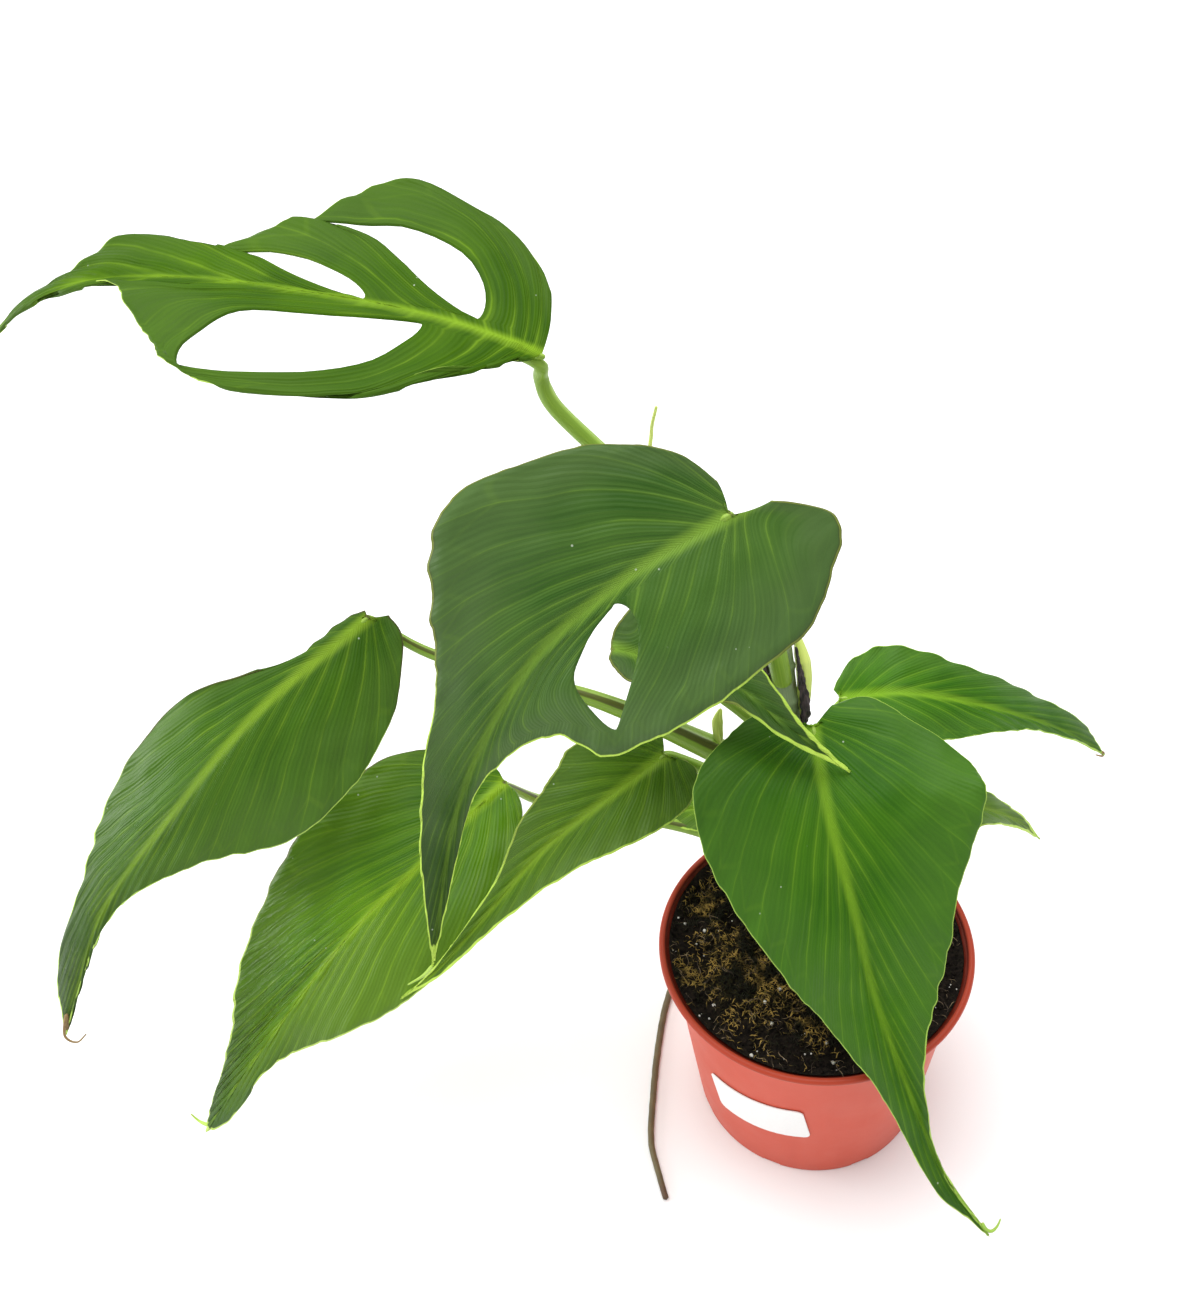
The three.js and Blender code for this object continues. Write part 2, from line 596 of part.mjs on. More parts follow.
const ROOT_RADII = [1.9, 1.5, 1.5, 1.5, 1.3];
const ROOT_STEPS = 40;
const ROOT_PATH = [[-3.5, 18, 97], [-5, 36, 104], [-7, 54, 104], [-10, 63.5, 96], [-14, 66, 80],
  [-24, 66, 45], [-38, 63, 14], [-50, 53, 3], [-58, 36, 1.6], [-64, 14, 1.6], [-68, -6, 1.6],
  [-71, -26, 1.6], [-70, -40, 1.6], [-69, -52, 1.6]];

// Assembly

const COLOURS = {
  pot: "#c65d4f",
  soil: "#1e1813",
  label: "#ffffff",
  stem: "#6f8a52",
  leaf: "#3f7a2c",
  new_leaf: "#d3e04a",
  new_sheath: "#c6d877",
  dry_sheath: "#4a3324",
  aerial_root: "#5a4a30",
};

const plant = new THREE.Group();

function piece(name, geometry, colour, roughness = 0.5) {
  const material = new THREE.MeshStandardMaterial({ color: colour, roughness, metalness: 0 });
  const mesh = new THREE.Mesh(geometry, material);
  mesh.name = name;
  plant.add(mesh);
}

piece("pot", potGeometry(), COLOURS.pot, 0.45);
piece("label", labelGeometry(), COLOURS.label, 0.4);
piece("soil", soilGeometry(), COLOURS.soil, 0.95);
piece("stem", stemGeometry(), COLOURS.stem);
for (const [name, leaf] of Object.entries(LEAVES)) piece(name, leafGeometry(leaf), COLOURS.leaf, 0.35);
piece("new_leaf", tube(NEW_LEAF_PATH, NEW_LEAF_RADII, { sides: 8, steps: 14 }), COLOURS.new_leaf);
piece("new_sheath", tube(NEW_SHEATH_PATH, NEW_SHEATH_RADII, { sides: 8, steps: 8 }), COLOURS.new_sheath);
DRY_SHEATHS.forEach(({ path, radii }, i) => {
  piece(`dry_sheath_${i + 1}`, tube(path, radii, { sides: 6, steps: 6 }), COLOURS.dry_sheath, 0.8);
});
const root = tube(ROOT_PATH, ROOT_RADII, { sides: 6, steps: ROOT_STEPS });
piece("aerial_root", root, COLOURS.aerial_root, 0.7);

export default plant;
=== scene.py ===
import math
import random

import bpy
import numpy as np
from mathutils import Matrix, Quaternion, Vector, noise


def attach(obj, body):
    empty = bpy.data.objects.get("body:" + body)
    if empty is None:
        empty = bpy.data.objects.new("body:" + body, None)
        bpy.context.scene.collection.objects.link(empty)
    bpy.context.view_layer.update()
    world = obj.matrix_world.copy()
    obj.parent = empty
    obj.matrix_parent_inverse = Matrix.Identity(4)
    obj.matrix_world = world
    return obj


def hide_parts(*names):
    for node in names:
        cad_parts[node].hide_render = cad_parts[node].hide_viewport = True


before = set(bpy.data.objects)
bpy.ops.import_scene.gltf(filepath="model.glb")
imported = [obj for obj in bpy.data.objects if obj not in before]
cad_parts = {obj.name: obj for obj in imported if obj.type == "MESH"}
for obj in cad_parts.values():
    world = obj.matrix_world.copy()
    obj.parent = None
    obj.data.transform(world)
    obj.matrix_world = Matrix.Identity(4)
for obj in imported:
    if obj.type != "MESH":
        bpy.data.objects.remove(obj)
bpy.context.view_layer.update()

# A climbing monstera with ten leaves in a 12 cm nursery pot. Its sizes are in millimetres and
# become metres where a mesh is made. The camera, the lamps and the places that a material reads
# are in metres. The axes are the frame's: +Z up, and the camera's side is -Y.

# ---- Camera ----
# It stands over the plant's front left and looks steeply down, so the leaves show their upper
# faces and the pot shows its soil. The horizon leans a little to the right.

LOOKS_DOWN = math.radians(42.65)
LEANS = math.radians(-6.27)


def bare(add, **settings):
    """Adds one object, with nothing else selected."""
    bpy.ops.object.select_all(action="DESELECT")
    add(**settings)
    return bpy.context.object


camera = bare(bpy.ops.object.camera_add, location=(-0.0701, -0.2875, 0.52))
level = Quaternion((1, 0, 0), math.pi / 2 - LOOKS_DOWN)
camera.rotation_euler = (level @ Quaternion((0, 0, 1), LEANS)).to_euler()
camera.data.sensor_width = 36
camera.data.lens = 35.62
camera.data.clip_start = 0.01
bpy.context.scene.camera = camera

# ---- Floor ----
# A plain white table top that runs out of the picture. It is matt, so that the only thing it
# shows is a soft shadow.


class Value:
    """A number or colour on its way through a material: sums with it add Math nodes."""

    def __init__(self, paint, socket):
        self.paint = paint
        self.socket = socket

    def maths(self, operation, *values):
        return self.paint.node("Math", dict(enumerate(values)), operation=operation)

    def __add__(self, other):
        return self.maths("ADD", self, other)

    def __sub__(self, other):
        return self.maths("SUBTRACT", self, other)

    def __rsub__(self, other):
        return self.maths("SUBTRACT", other, self)

    def __mul__(self, other):
        return self.maths("MULTIPLY", self, other)

    def __abs__(self):
        return self.maths("ABSOLUTE", self)

    def fraction(self):
        return self.maths("FRACT", self)

    __radd__ = __add__
    __rmul__ = __mul__


class Paint:
    """A material on one Principled shader, whose other nodes all come from node."""

    def __init__(self, name, **constants):
        self.material = bpy.data.materials.new(name)
        self.material.use_nodes = True
        self.tree = self.material.node_tree
        self.shader = self.tree.nodes["Principled BSDF"]
        for socket, value in constants.items():
            self.shader.inputs[socket.replace("_", " ")].default_value = value

    def node(self, kind, inputs=None, output=0, **settings):
        node = self.tree.nodes.new("ShaderNode" + kind)
        for name, value in settings.items():
            setattr(node, name, value)
        for name, value in (inputs or {}).items():
            if isinstance(value, Value):
                self.tree.links.new(value.socket, node.inputs[name])
            elif isinstance(value, tuple) and node.inputs[name].type == "RGBA":
                node.inputs[name].default_value = (*value, 1)
            else:
                node.inputs[name].default_value = value
        return Value(self, node.outputs[output])

    def feeds(self, **outputs):
        for socket, value in outputs.items():
            self.tree.links.new(value.socket, self.shader.inputs[socket.replace("_", " ")])

    def mix(self, factor, one, other):
        return self.node("Mix", {0: factor, 6: one, 7: other}, 2, data_type="RGBA")

    def step(self, value, low, high):
        """0 below low and 1 above high, or the other way round where low is the greater."""
        return self.node("MapRange", {0: value, 1: low, 2: high}, interpolation_type="SMOOTHSTEP")

    def places(self):
        return self.node("TexCoord", output="Object")

    def part(self, vector, index):
        return self.node("SeparateXYZ", {0: vector}, index)

    def kept(self, name, index):
        """One of the three numbers that the mesh keeps at each place under this name."""
        return self.part(self.node("Attribute", output="Vector", attribute_name=name), index)

    def noise(self, vector, detail):
        return self.node("TexNoise", {"Vector": vector, "Scale": 1.0, "Detail": detail})

    def lines(self, repeats, detail):
        """Noise drawn out along a rod. repeats says how fine it is along it and around it."""
        rod = self.node("Mapping", {0: self.node("UVMap", uv_map="UVMap"), 3: (*repeats, 1)})
        return self.noise(rod, detail)

    def mottle(self, size, detail=3.0, stretch=(1, 1, 1), rough=0.5):
        """Noise from 0 to 1 whose blotches are about size millimetres across."""
        vector = self.node("Mapping", {0: self.places(), 3: stretch})
        inputs = {"Vector": vector, "Scale": 1000 / size, "Detail": detail, "Roughness": rough}
        return self.node("TexNoise", inputs)

    def bump(self, height, depth, strength=1.0, below=None):
        """A bump that stands out depth millimetres where height is 1."""
        inputs = {"Height": height, "Distance": depth / 1000, "Strength": strength}
        if below:
            inputs["Normal"] = below
        return self.node("Bump", inputs)


table = Paint("table_top", Base_Color=(0.93, 0.93, 0.93, 1), Roughness=0.9)
floor = bare(bpy.ops.mesh.primitive_plane_add, size=12, location=(0, 0, 0))
floor.name = "floor"
floor.data.materials.append(table.material)

# ---- Studio light ----
# A white room gives the even light. A very wide lamp almost straight overhead shapes the leaves,
# and a smaller one, low on the left, gives the hanging leaf tips their sheen.

bpy.context.scene.view_settings.view_transform = "Standard"
world = bpy.context.scene.world or bpy.data.worlds.new("studio")
bpy.context.scene.world = world
world.use_nodes = True
room = world.node_tree.nodes["Background"]
room.inputs["Color"].default_value = (1, 1, 1, 1)
room.inputs["Strength"].default_value = 0.6


def lamp_at(kind, place, aim, strength):
    """A lamp that shines from one place towards another, in metres."""
    lamp = bare(bpy.ops.object.light_add, type=kind, location=place)
    lamp.rotation_euler = (Vector(aim) - Vector(place)).to_track_quat("-Z", "Y").to_euler()
    lamp.data.energy = strength
    return lamp.data


lamp_at("SUN", (-0.25, 0.3, 2.2), (-0.05, 0, 0.1), 3.2).angle = math.radians(60)
softbox = lamp_at("AREA", (-1.5, 0.3, 0.5), (-0.15, 0, 0.15), 9)
softbox.shape = "DISK"
softbox.size = 0.8

# ---- Pot ----
# A thin nursery pot injection-moulded in terracotta plastic: a plain tapering wall, a rolled lip,
# six drain holes in the floor and eight small notches at the foot that let water run out.

POT_HEIGHT, RIM, NECK, FOOT = 95, 60, 55.2, 46.5
WALL, FLOOR, LIP, BEAD = 1.4, 1.6, 4, 1.4
DRAINS, DRAIN_RADIUS, DRAIN_CIRCLE = 6, 4, 30
NOTCHES, NOTCH_WIDTH, NOTCH_HEIGHT, NOTCH_DEPTH, NOTCH_TURN = 8, 7, 2.2, 0.6, 0.35
POT_SEGMENTS = 160


def wall_radius(z):
    return FOOT + (NECK - FOOT) * z / (POT_HEIGHT - LIP)


def turned(name, profile):
    """A closed body turned from a disc: it is extruded ring by ring up the outside and in again."""
    (r, z), rings = profile[0], profile[1:]
    piece = bare(bpy.ops.mesh.primitive_circle_add, vertices=POT_SEGMENTS, radius=r * 0.001,
                 location=(0, 0, z * 0.001), fill_type="NGON")
    bpy.ops.object.transform_apply(location=True, rotation=True, scale=True)
    piece.name = piece.data.name = name
    bpy.ops.object.mode_set(mode="EDIT")
    for next_r, next_z in rings:
        up = {"value": (0, 0, (next_z - z) * 0.001)}
        bpy.ops.mesh.extrude_region_move(TRANSFORM_OT_translate=up)
        share = next_r / r
        bpy.ops.transform.resize(value=(share, share, 1), center_override=(0, 0, next_z * 0.001))
        r, z = next_r, next_z
    bpy.ops.mesh.select_all(action="SELECT")
    bpy.ops.mesh.normals_make_consistent(inside=False)
    bpy.ops.object.mode_set(mode="OBJECT")
    return piece


def cut(piece, cutter):
    """Cuts one piece with another, which is used up."""
    modifier = piece.modifiers.new("cut", "BOOLEAN")
    modifier.object = cutter
    modifier.operation = "DIFFERENCE"
    bpy.context.view_layer.objects.active = piece
    bpy.ops.object.modifier_apply(modifier=modifier.name)
    bpy.data.objects.remove(cutter)


def arc(centre_r, centre_z, radius, start, end, steps=5):
    """Places [r, z] on an arc, in degrees from straight out."""
    turns = [math.radians(start + (end - start) * i / steps) for i in range(steps + 1)]
    return [(centre_r + radius * math.cos(a), centre_z + radius * math.sin(a)) for a in turns]


profile = [(FOOT - 4, 0.5), (FOOT - 3.4, 0)]
profile += arc(FOOT - 1, 1, 1, -90, 0)
profile += [(wall_radius(z), z) for z in range(8, 89, 10)]
profile += [(NECK, 90.6), (NECK + 0.5, 91.2)]
profile += arc(RIM - BEAD, POT_HEIGHT - BEAD, BEAD, -80, 200, 12)
profile += arc(NECK - WALL + 1.5, 89.6, 1.5, 140, 180, 3)
profile += [(wall_radius(z) - WALL, z) for z in range(86, 5, -10)]
profile += arc(wall_radius(4) - WALL - 2.4, 4, 2.4, 0, -90)
profile[-1] = (profile[-1][0], FLOOR)
pot = turned("nursery_pot", profile)
for i in range(DRAINS):
    turn = math.tau * i / DRAINS
    place = Vector((math.cos(turn), math.sin(turn), 0)) * DRAIN_CIRCLE * 0.001
    place.z = FLOOR * 0.0005
    cut(pot, bare(bpy.ops.mesh.primitive_cylinder_add, vertices=40, radius=DRAIN_RADIUS * 0.001,
                  depth=0.006, location=place))
for i in range(NOTCHES):
    turn = math.tau * (i + NOTCH_TURN) / NOTCHES
    away = (FOOT - NOTCH_DEPTH + NOTCH_WIDTH / 2) * 0.001
    size = Vector((NOTCH_WIDTH, NOTCH_WIDTH, 2 * NOTCH_HEIGHT)) * 0.001
    cut(pot, bare(bpy.ops.mesh.primitive_cube_add, size=1, scale=size, rotation=(0, 0, turn),
                  location=(away * math.cos(turn), away * math.sin(turn), 0)))
bpy.ops.object.select_all(action="DESELECT")
pot.select_set(True)
bpy.context.view_layer.objects.active = pot
bpy.ops.object.shade_smooth_by_angle(angle=math.radians(35))

terracotta = Paint("terracotta_plastic", Roughness=0.42, Specular_IOR_Level=0.3)
streaks = terracotta.mottle(9, 4, stretch=(1, 1, 0.06))
blotches = terracotta.mottle(30, 2)
height = terracotta.part(terracotta.places(), 2)
middle = terracotta.node("VectorMath", {0: terracotta.places(), 1: (1, 1, 0)}, "Vector",
                         operation="MULTIPLY")
away = terracotta.node("VectorMath", {0: middle}, "Value", operation="LENGTH")
colour = terracotta.mix(streaks, (0.56, 0.066, 0.029), (0.63, 0.085, 0.042))
colour = terracotta.mix(blotches * 0.5, colour, (0.60, 0.075, 0.036))
# The lip's crown is a deeper red. The inner wall above the soil and the ledge inside the lip get a
# painted shade, a dark red, because little light reaches them.
colour = terracotta.mix(terracotta.step(height, 0.0926, 0.0936), colour, (0.40, 0.042, 0.014))
slope = (NECK - FOOT) / (POT_HEIGHT - LIP)
inner = (FOOT - WALL) * 0.001
inner_wall_painted_shade = terracotta.step(away - height * slope, inner + 0.0009, inner + 0.0005)
inner_wall_painted_shade = terracotta.step(height, 0.08, 0.085) * inner_wall_painted_shade
ledge_painted_shade = terracotta.step(height - away * 0.5, 0.0634, 0.0636) * terracotta.step(away, 0.0580, 0.0574)
for shaded in (inner_wall_painted_shade, ledge_painted_shade):
    colour = terracotta.mix(shaded, colour, (0.16, 0.018, 0.008))
grain = terracotta.mottle(0.5, 2)
terracotta.feeds(
    Base_Color=colour,
    Roughness=0.34 + 0.2 * terracotta.mottle(14, 4),
    Normal=terracotta.bump(grain, 0.02, below=terracotta.bump(streaks, 0.08)),
)
pot.data.materials.append(terracotta.material)
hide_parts("pot")
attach(pot, "root")

# ---- Label ----
# A blank white paper sticker with rounded corners, stuck a little askew on the front left of the
# wall. The CAD solid already has its shape.

paper = Paint("label_paper", Roughness=0.5)
fibre = paper.mottle(0.8, 4)
paper.feeds(
    Base_Color=paper.mix(fibre, (0.86, 0.86, 0.85), (0.92, 0.92, 0.91)),
    Normal=paper.bump(fibre, 0.02),
)
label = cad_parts["label"]
label.data.materials.clear()
label.data.materials.append(paper.material)

# ---- Soil ----
# Loose black peat mix, filled up to the lip's foot and a little heaped. White perlite grains,
# tan fibres and curled golden moss lie on it. Its surface is worked up crumb by crumb.


def grid(name, rows, columns, place):
    """A flat grid whose crossing of row i and column j is moved to place[i, j], in millimetres."""
    piece = bare(bpy.ops.mesh.primitive_grid_add, x_subdivisions=rows - 1,
                 y_subdivisions=columns - 1, size=1)
    piece.name = piece.data.name = name
    flat = np.empty(len(piece.data.vertices) * 3)
    piece.data.vertices.foreach_get("co", flat)
    spot = (flat.reshape(-1, 3)[:, :2] + 0.5) * (rows - 1, columns - 1)
    i, j = np.rint(spot).astype(int).T
    piece.data.vertices.foreach_set("co", (place[i, j] * 0.001).ravel())
    piece.data.update()
    return piece, i, j


def weld(piece, apart=0.00001):
    """Merges the places that coincide and turns the faces outwards."""
    bpy.context.view_layer.objects.active = piece
    bpy.ops.object.mode_set(mode="EDIT")
    bpy.ops.mesh.select_all(action="SELECT")
    bpy.ops.mesh.remove_doubles(threshold=apart)
    bpy.ops.mesh.normals_make_consistent(inside=False)
    bpy.ops.object.mode_set(mode="OBJECT")
    bpy.ops.object.shade_smooth()


SOIL_TOP, SOIL_FOOT, SOIL_GAP, SOIL_RADIUS = 89.5, 2, 0.12, 56
SOIL_RINGS, SOIL_SEGMENTS = 110, 320
BANK, BANK_WIDTH, SMOOTH_WIDTH = 3.3, 6, 5
MOUND, MOUND_X, MOUND_Y, MOUND_WIDTH = 4.5, -14, -6, 23


def ground(x, y):
    """The soil's height at a place: the heap, its clods and crumbs, and the bank by the lip."""
    spot = Vector((x, y, 0))
    heap = MOUND * math.exp(-((x - MOUND_X) ** 2 + (y - MOUND_Y) ** 2) / (2 * MOUND_WIDTH ** 2))
    clods = 1.8 * noise.noise(spot / 9) + 2.0 * noise.noise(spot / 4.2 + Vector((9, 2, 5)))
    crumbs = 1.3 * (0.5 - noise.voronoi(spot / 2.4)[0][0]) + 0.8 * noise.noise(spot / 1.1)
    r = math.hypot(x, y)
    bank = BANK * max(0, (r - SOIL_RADIUS) / BANK_WIDTH + 1) ** 2
    loose = min(max(SOIL_RADIUS + 1 - r, 0) / SMOOTH_WIDTH, 1)
    return SOIL_TOP + heap + (clods + crumbs) * loose + bank


rings = [(0, SOIL_FOOT), (24, SOIL_FOOT), (44, SOIL_FOOT)]
rings += [(wall_radius(z) - WALL - SOIL_GAP, z) for z in (6, 20, 40, 60, 80, 90)]
rings += [(SOIL_RADIUS * (1 - i / SOIL_RINGS), None) for i in range(SOIL_RINGS + 1)]
around = np.linspace(0, math.tau, SOIL_SEGMENTS + 1)
place = np.array([[(r * math.cos(a), r * math.sin(a),
                    ground(r * math.cos(a), r * math.sin(a)) if z is None else z)
                   for a in around] for r, z in rings])
soil, _, _ = grid("potting_mix", len(rings), len(around), place)
weld(soil)

MOSS_PLACES = ((-23, -8, 25), (-50, -6, 9), (-8, -34, 11), (-36, 24, 12))


def mossy(x, y):
    """How thickly the moss grows at a place, from 0 to 1."""
    return max(math.exp(-((x - a) ** 2 + (y - b) ** 2) / r ** 2) for a, b, r in MOSS_PLACES)


def scattered(name, part, spots, sizes, seed, tilt=1.0):
    """One mesh with a copy of a small part at every spot, each turned at random."""
    draw = random.Random(seed)
    corners = [corner.co.copy() for corner in part.data.vertices]
    sides = [list(side.vertices) for side in part.data.polygons]
    points, faces = [], []
    for spot, size in zip(spots, sizes):
        turn = Quaternion((0, 0, 1), draw.uniform(0, math.tau))
        lean = Quaternion((1, 0, 0), draw.uniform(-tilt, tilt) * math.pi / 2)
        spin = turn @ lean @ Quaternion((0, 0, 1), draw.uniform(0, math.tau))
        first = len(points)
        points += [spin @ (corner * size) + Vector(spot) * 0.001 for corner in corners]
        faces += [[first + corner for corner in side] for side in sides]
    bpy.data.objects.remove(part)
    mesh = bpy.data.meshes.new(name)
    mesh.from_pydata(points, [], faces)
    piece = bpy.data.objects.new(name, mesh)
    bpy.context.collection.objects.link(piece)
    piece.select_set(True)
    bpy.context.view_layer.objects.active = piece
    bpy.ops.object.shade_smooth()
    return piece


def soil_spots(count, seed, above, wanted=lambda x, y: 1):
    """Places strewn over the soil, where wanted is the chance that a place is kept."""
    draw = random.Random(seed)
    spots = []
    while len(spots) < count:
        r, turn = (SOIL_RADIUS - 1) * math.sqrt(draw.random()), draw.uniform(0, math.tau)
        x, y = r * math.cos(turn), r * math.sin(turn)
        if draw.random() < wanted(x, y):
            spots.append((x, y, ground(x, y) + above))
    return spots


def lump(seed):
    """A small uneven grain, two millimetres across."""
    piece = bare(bpy.ops.mesh.primitive_ico_sphere_add, subdivisions=1, radius=0.001)
    draw = random.Random(seed)
    for corner in piece.data.vertices:
        corner.co *= draw.uniform(0.7, 1.15)
    return piece


def curl(width, bow):
    """A three-sided fibre, four millimetres long, with pointed ends and a bow in it."""
    steps = np.linspace(-1, 1, 7)
    turn = np.linspace(0, math.tau, 4)[None, :]
    r = (width * (1.02 - np.abs(steps)) ** 0.5)[:, None]
    place = np.stack([
        np.broadcast_to(2 * steps[:, None], (7, 4)),
        bow * np.sin(2.6 * steps)[:, None] + r * np.cos(turn),
        bow * (1 - steps ** 2)[:, None] + r * np.sin(turn),
    ], -1)
    piece, _, _ = grid("curl", 7, 4, place)
    weld(piece)
    return piece


draw = random.Random(11)
sizes = [draw.uniform(0.35, 1.0) * draw.uniform(0.6, 1.3) for _ in range(1500)]
crumbs = scattered("peat_crumbs", lump(3), soil_spots(1500, 5, 0.2), sizes, 6)
sizes = [draw.uniform(0.25, 0.55) for _ in range(90)] + [draw.uniform(0.7, 1.1) for _ in range(26)]
spots = soil_spots(116, 8, 0.35, lambda x, y: 1.1 - mossy(x, y))
perlite = scattered("perlite_grains", lump(4), spots, sizes, 9)
sizes = [draw.uniform(0.5, 1.7) for _ in range(420)]
fibres = scattered("peat_fibres", curl(0.1, 0.6), soil_spots(420, 12, 0.7), sizes, 13, 0.35)
sizes = [draw.uniform(0.3, 0.85) for _ in range(3200)]
spots = soil_spots(3200, 14, 0.6, lambda x, y: mossy(x, y) ** 1.5)
moss = scattered("moss_curls", curl(0.3, 0.8), spots, sizes, 15, 0.8)

peat = Paint("black_peat", Roughness=0.95, Specular_IOR_Level=0.15)
crumb = peat.mottle(1.6, 5, rough=0.65)
heart = peat.node("VectorMath", {0: peat.places(), 1: (-0.023, -0.008, 0.09)}, "Value",
                  operation="DISTANCE")
growth = peat.step(heart + 0.02 * peat.mottle(6, 4), 0.038, 0.024)
colour = peat.mix(peat.step(crumb, 0.35, 0.75), (0.005, 0.0035, 0.0025), (0.026, 0.018, 0.012))
colour = peat.mix(growth * peat.step(crumb, 0.45, 0.7) * 0.8, colour, (0.05, 0.042, 0.01))
peat.feeds(Base_Color=colour, Normal=peat.bump(crumb, 1.2))

grains = Paint("perlite", Roughness=0.85)
dust = grains.mottle(0.7, 3)
grains.feeds(Base_Color=grains.mix(dust, (0.95, 0.93, 0.90), (0.5, 0.45, 0.38)),
             Normal=grains.bump(dust, 0.15))

straw = Paint("peat_fibre", Roughness=0.8)
straw.feeds(Base_Color=straw.mix(straw.step(straw.mottle(4, 3), 0.4, 0.65),
                                 (0.05, 0.032, 0.02), (0.42, 0.30, 0.17)))

golden = Paint("golden_moss", Roughness=0.8, Specular_IOR_Level=0.25)
tuft = golden.step(golden.mottle(3.2, 3), 0.35, 0.65)
colour = golden.mix(tuft, (0.025, 0.02, 0.006), (0.60, 0.39, 0.10))
colour = golden.mix(golden.step(golden.mottle(13, 3), 0.43, 0.55), (0.014, 0.014, 0.005), colour)
golden.feeds(Base_Color=colour)

for piece, paint in ((soil, peat), (crumbs, peat), (perlite, grains), (fibres, straw),
                     (moss, golden)):
    piece.data.materials.append(paint.material)
    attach(piece, "root")
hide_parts("soil")

# ---- Leaves ----
# Each leaf is one blade on one round stalk. Side veins leave the midrib in pairs and run in a bow
# to the margin, so the blade is a grid whose rows are those veins, bent on to the midrib's curve.


def spline(points, count):
    """Evenly spaced places on a smooth curve through the points, and its directions there."""
    p = np.array(points, float)
    p = np.vstack([2 * p[0] - p[1], p, 2 * p[-1] - p[-2]])
    t = np.linspace(0, len(points) - 1, 60 * len(points))
    i = np.minimum(t.astype(int), len(points) - 2)
    f = (t - i)[:, None]
    a, b, c, d = p[i], p[i + 1], p[i + 2], p[i + 3]
    fine = 0.5 * (2 * b + (c - a) * f + (2 * a - 5 * b + 4 * c - d) * f ** 2
                  + (3 * b - 3 * c + d - a) * f ** 3)
    run = np.r_[0, np.cumsum(np.linalg.norm(np.diff(fine, axis=0), axis=1))]
    even = np.linspace(0, run[-1], count)
    places = np.stack([np.interp(even, run, fine[:, k]) for k in range(3)], 1)
    ways = np.gradient(places, axis=0)
    return places, ways / np.linalg.norm(ways, axis=1, keepdims=True), run[-1]


ASKEW = (0.3, 0.2, 0.93)  # no rod runs this way


def rod(name, points, radii, sides=24, step=1.0, shape=None):
    """A round, tapering rod with rounded ends along a smooth curve. shape changes its radius."""
    length = spline(points, 9)[2]
    rows = max(int(length / step), 8)
    centres, ways, length = spline(points, rows)
    s = np.linspace(0, length, rows)
    radius = np.interp(s, np.linspace(0, length, len(radii)), radii)
    for end, r in ((s, radii[0]), (length - s, radii[-1])):
        inside = np.clip(1 - end / (0.8 * r), 0, 1)
        radius = radius * np.sqrt(1 - inside ** 2)
    across = np.cross(ways, ASKEW)
    across /= np.linalg.norm(across, axis=1, keepdims=True)
    over = np.cross(across, ways)
    turn = np.linspace(0, math.tau, sides + 1)[None, :]
    r = np.repeat(radius[:, None], sides + 1, axis=1)
    if shape is not None:
        r = shape(r, s[:, None], turn)
    place = (centres[:, None] + across[:, None] * (r * np.cos(turn))[..., None]
             + over[:, None] * (r * np.sin(turn))[..., None])
    piece, _, _ = grid(name, rows, sides + 1, place)
    weld(piece)
    return piece


# Where on the midrib each row of a table starts, as a share of its length, how far the rows bow
# forwards, and where across the blade a hole may begin and end. A leaf may give its own.
VEINS = [0, 0, 0, 0.05, 0.13, 0.25, 0.4, 0.58, 0.78, 1]
BOWS = [0.1] * len(VEINS)
OPENS = (0.08, 0.94)
BLADE, COSTA, COSTA_HALF = 0.8, 1.5, 1.8
GROOVE, SWELL, WAVE, SMALL_WAVE, FRILL = 0.6, 0.24, 4.0, 0.9, 0.5
CURVE_STEPS = 400

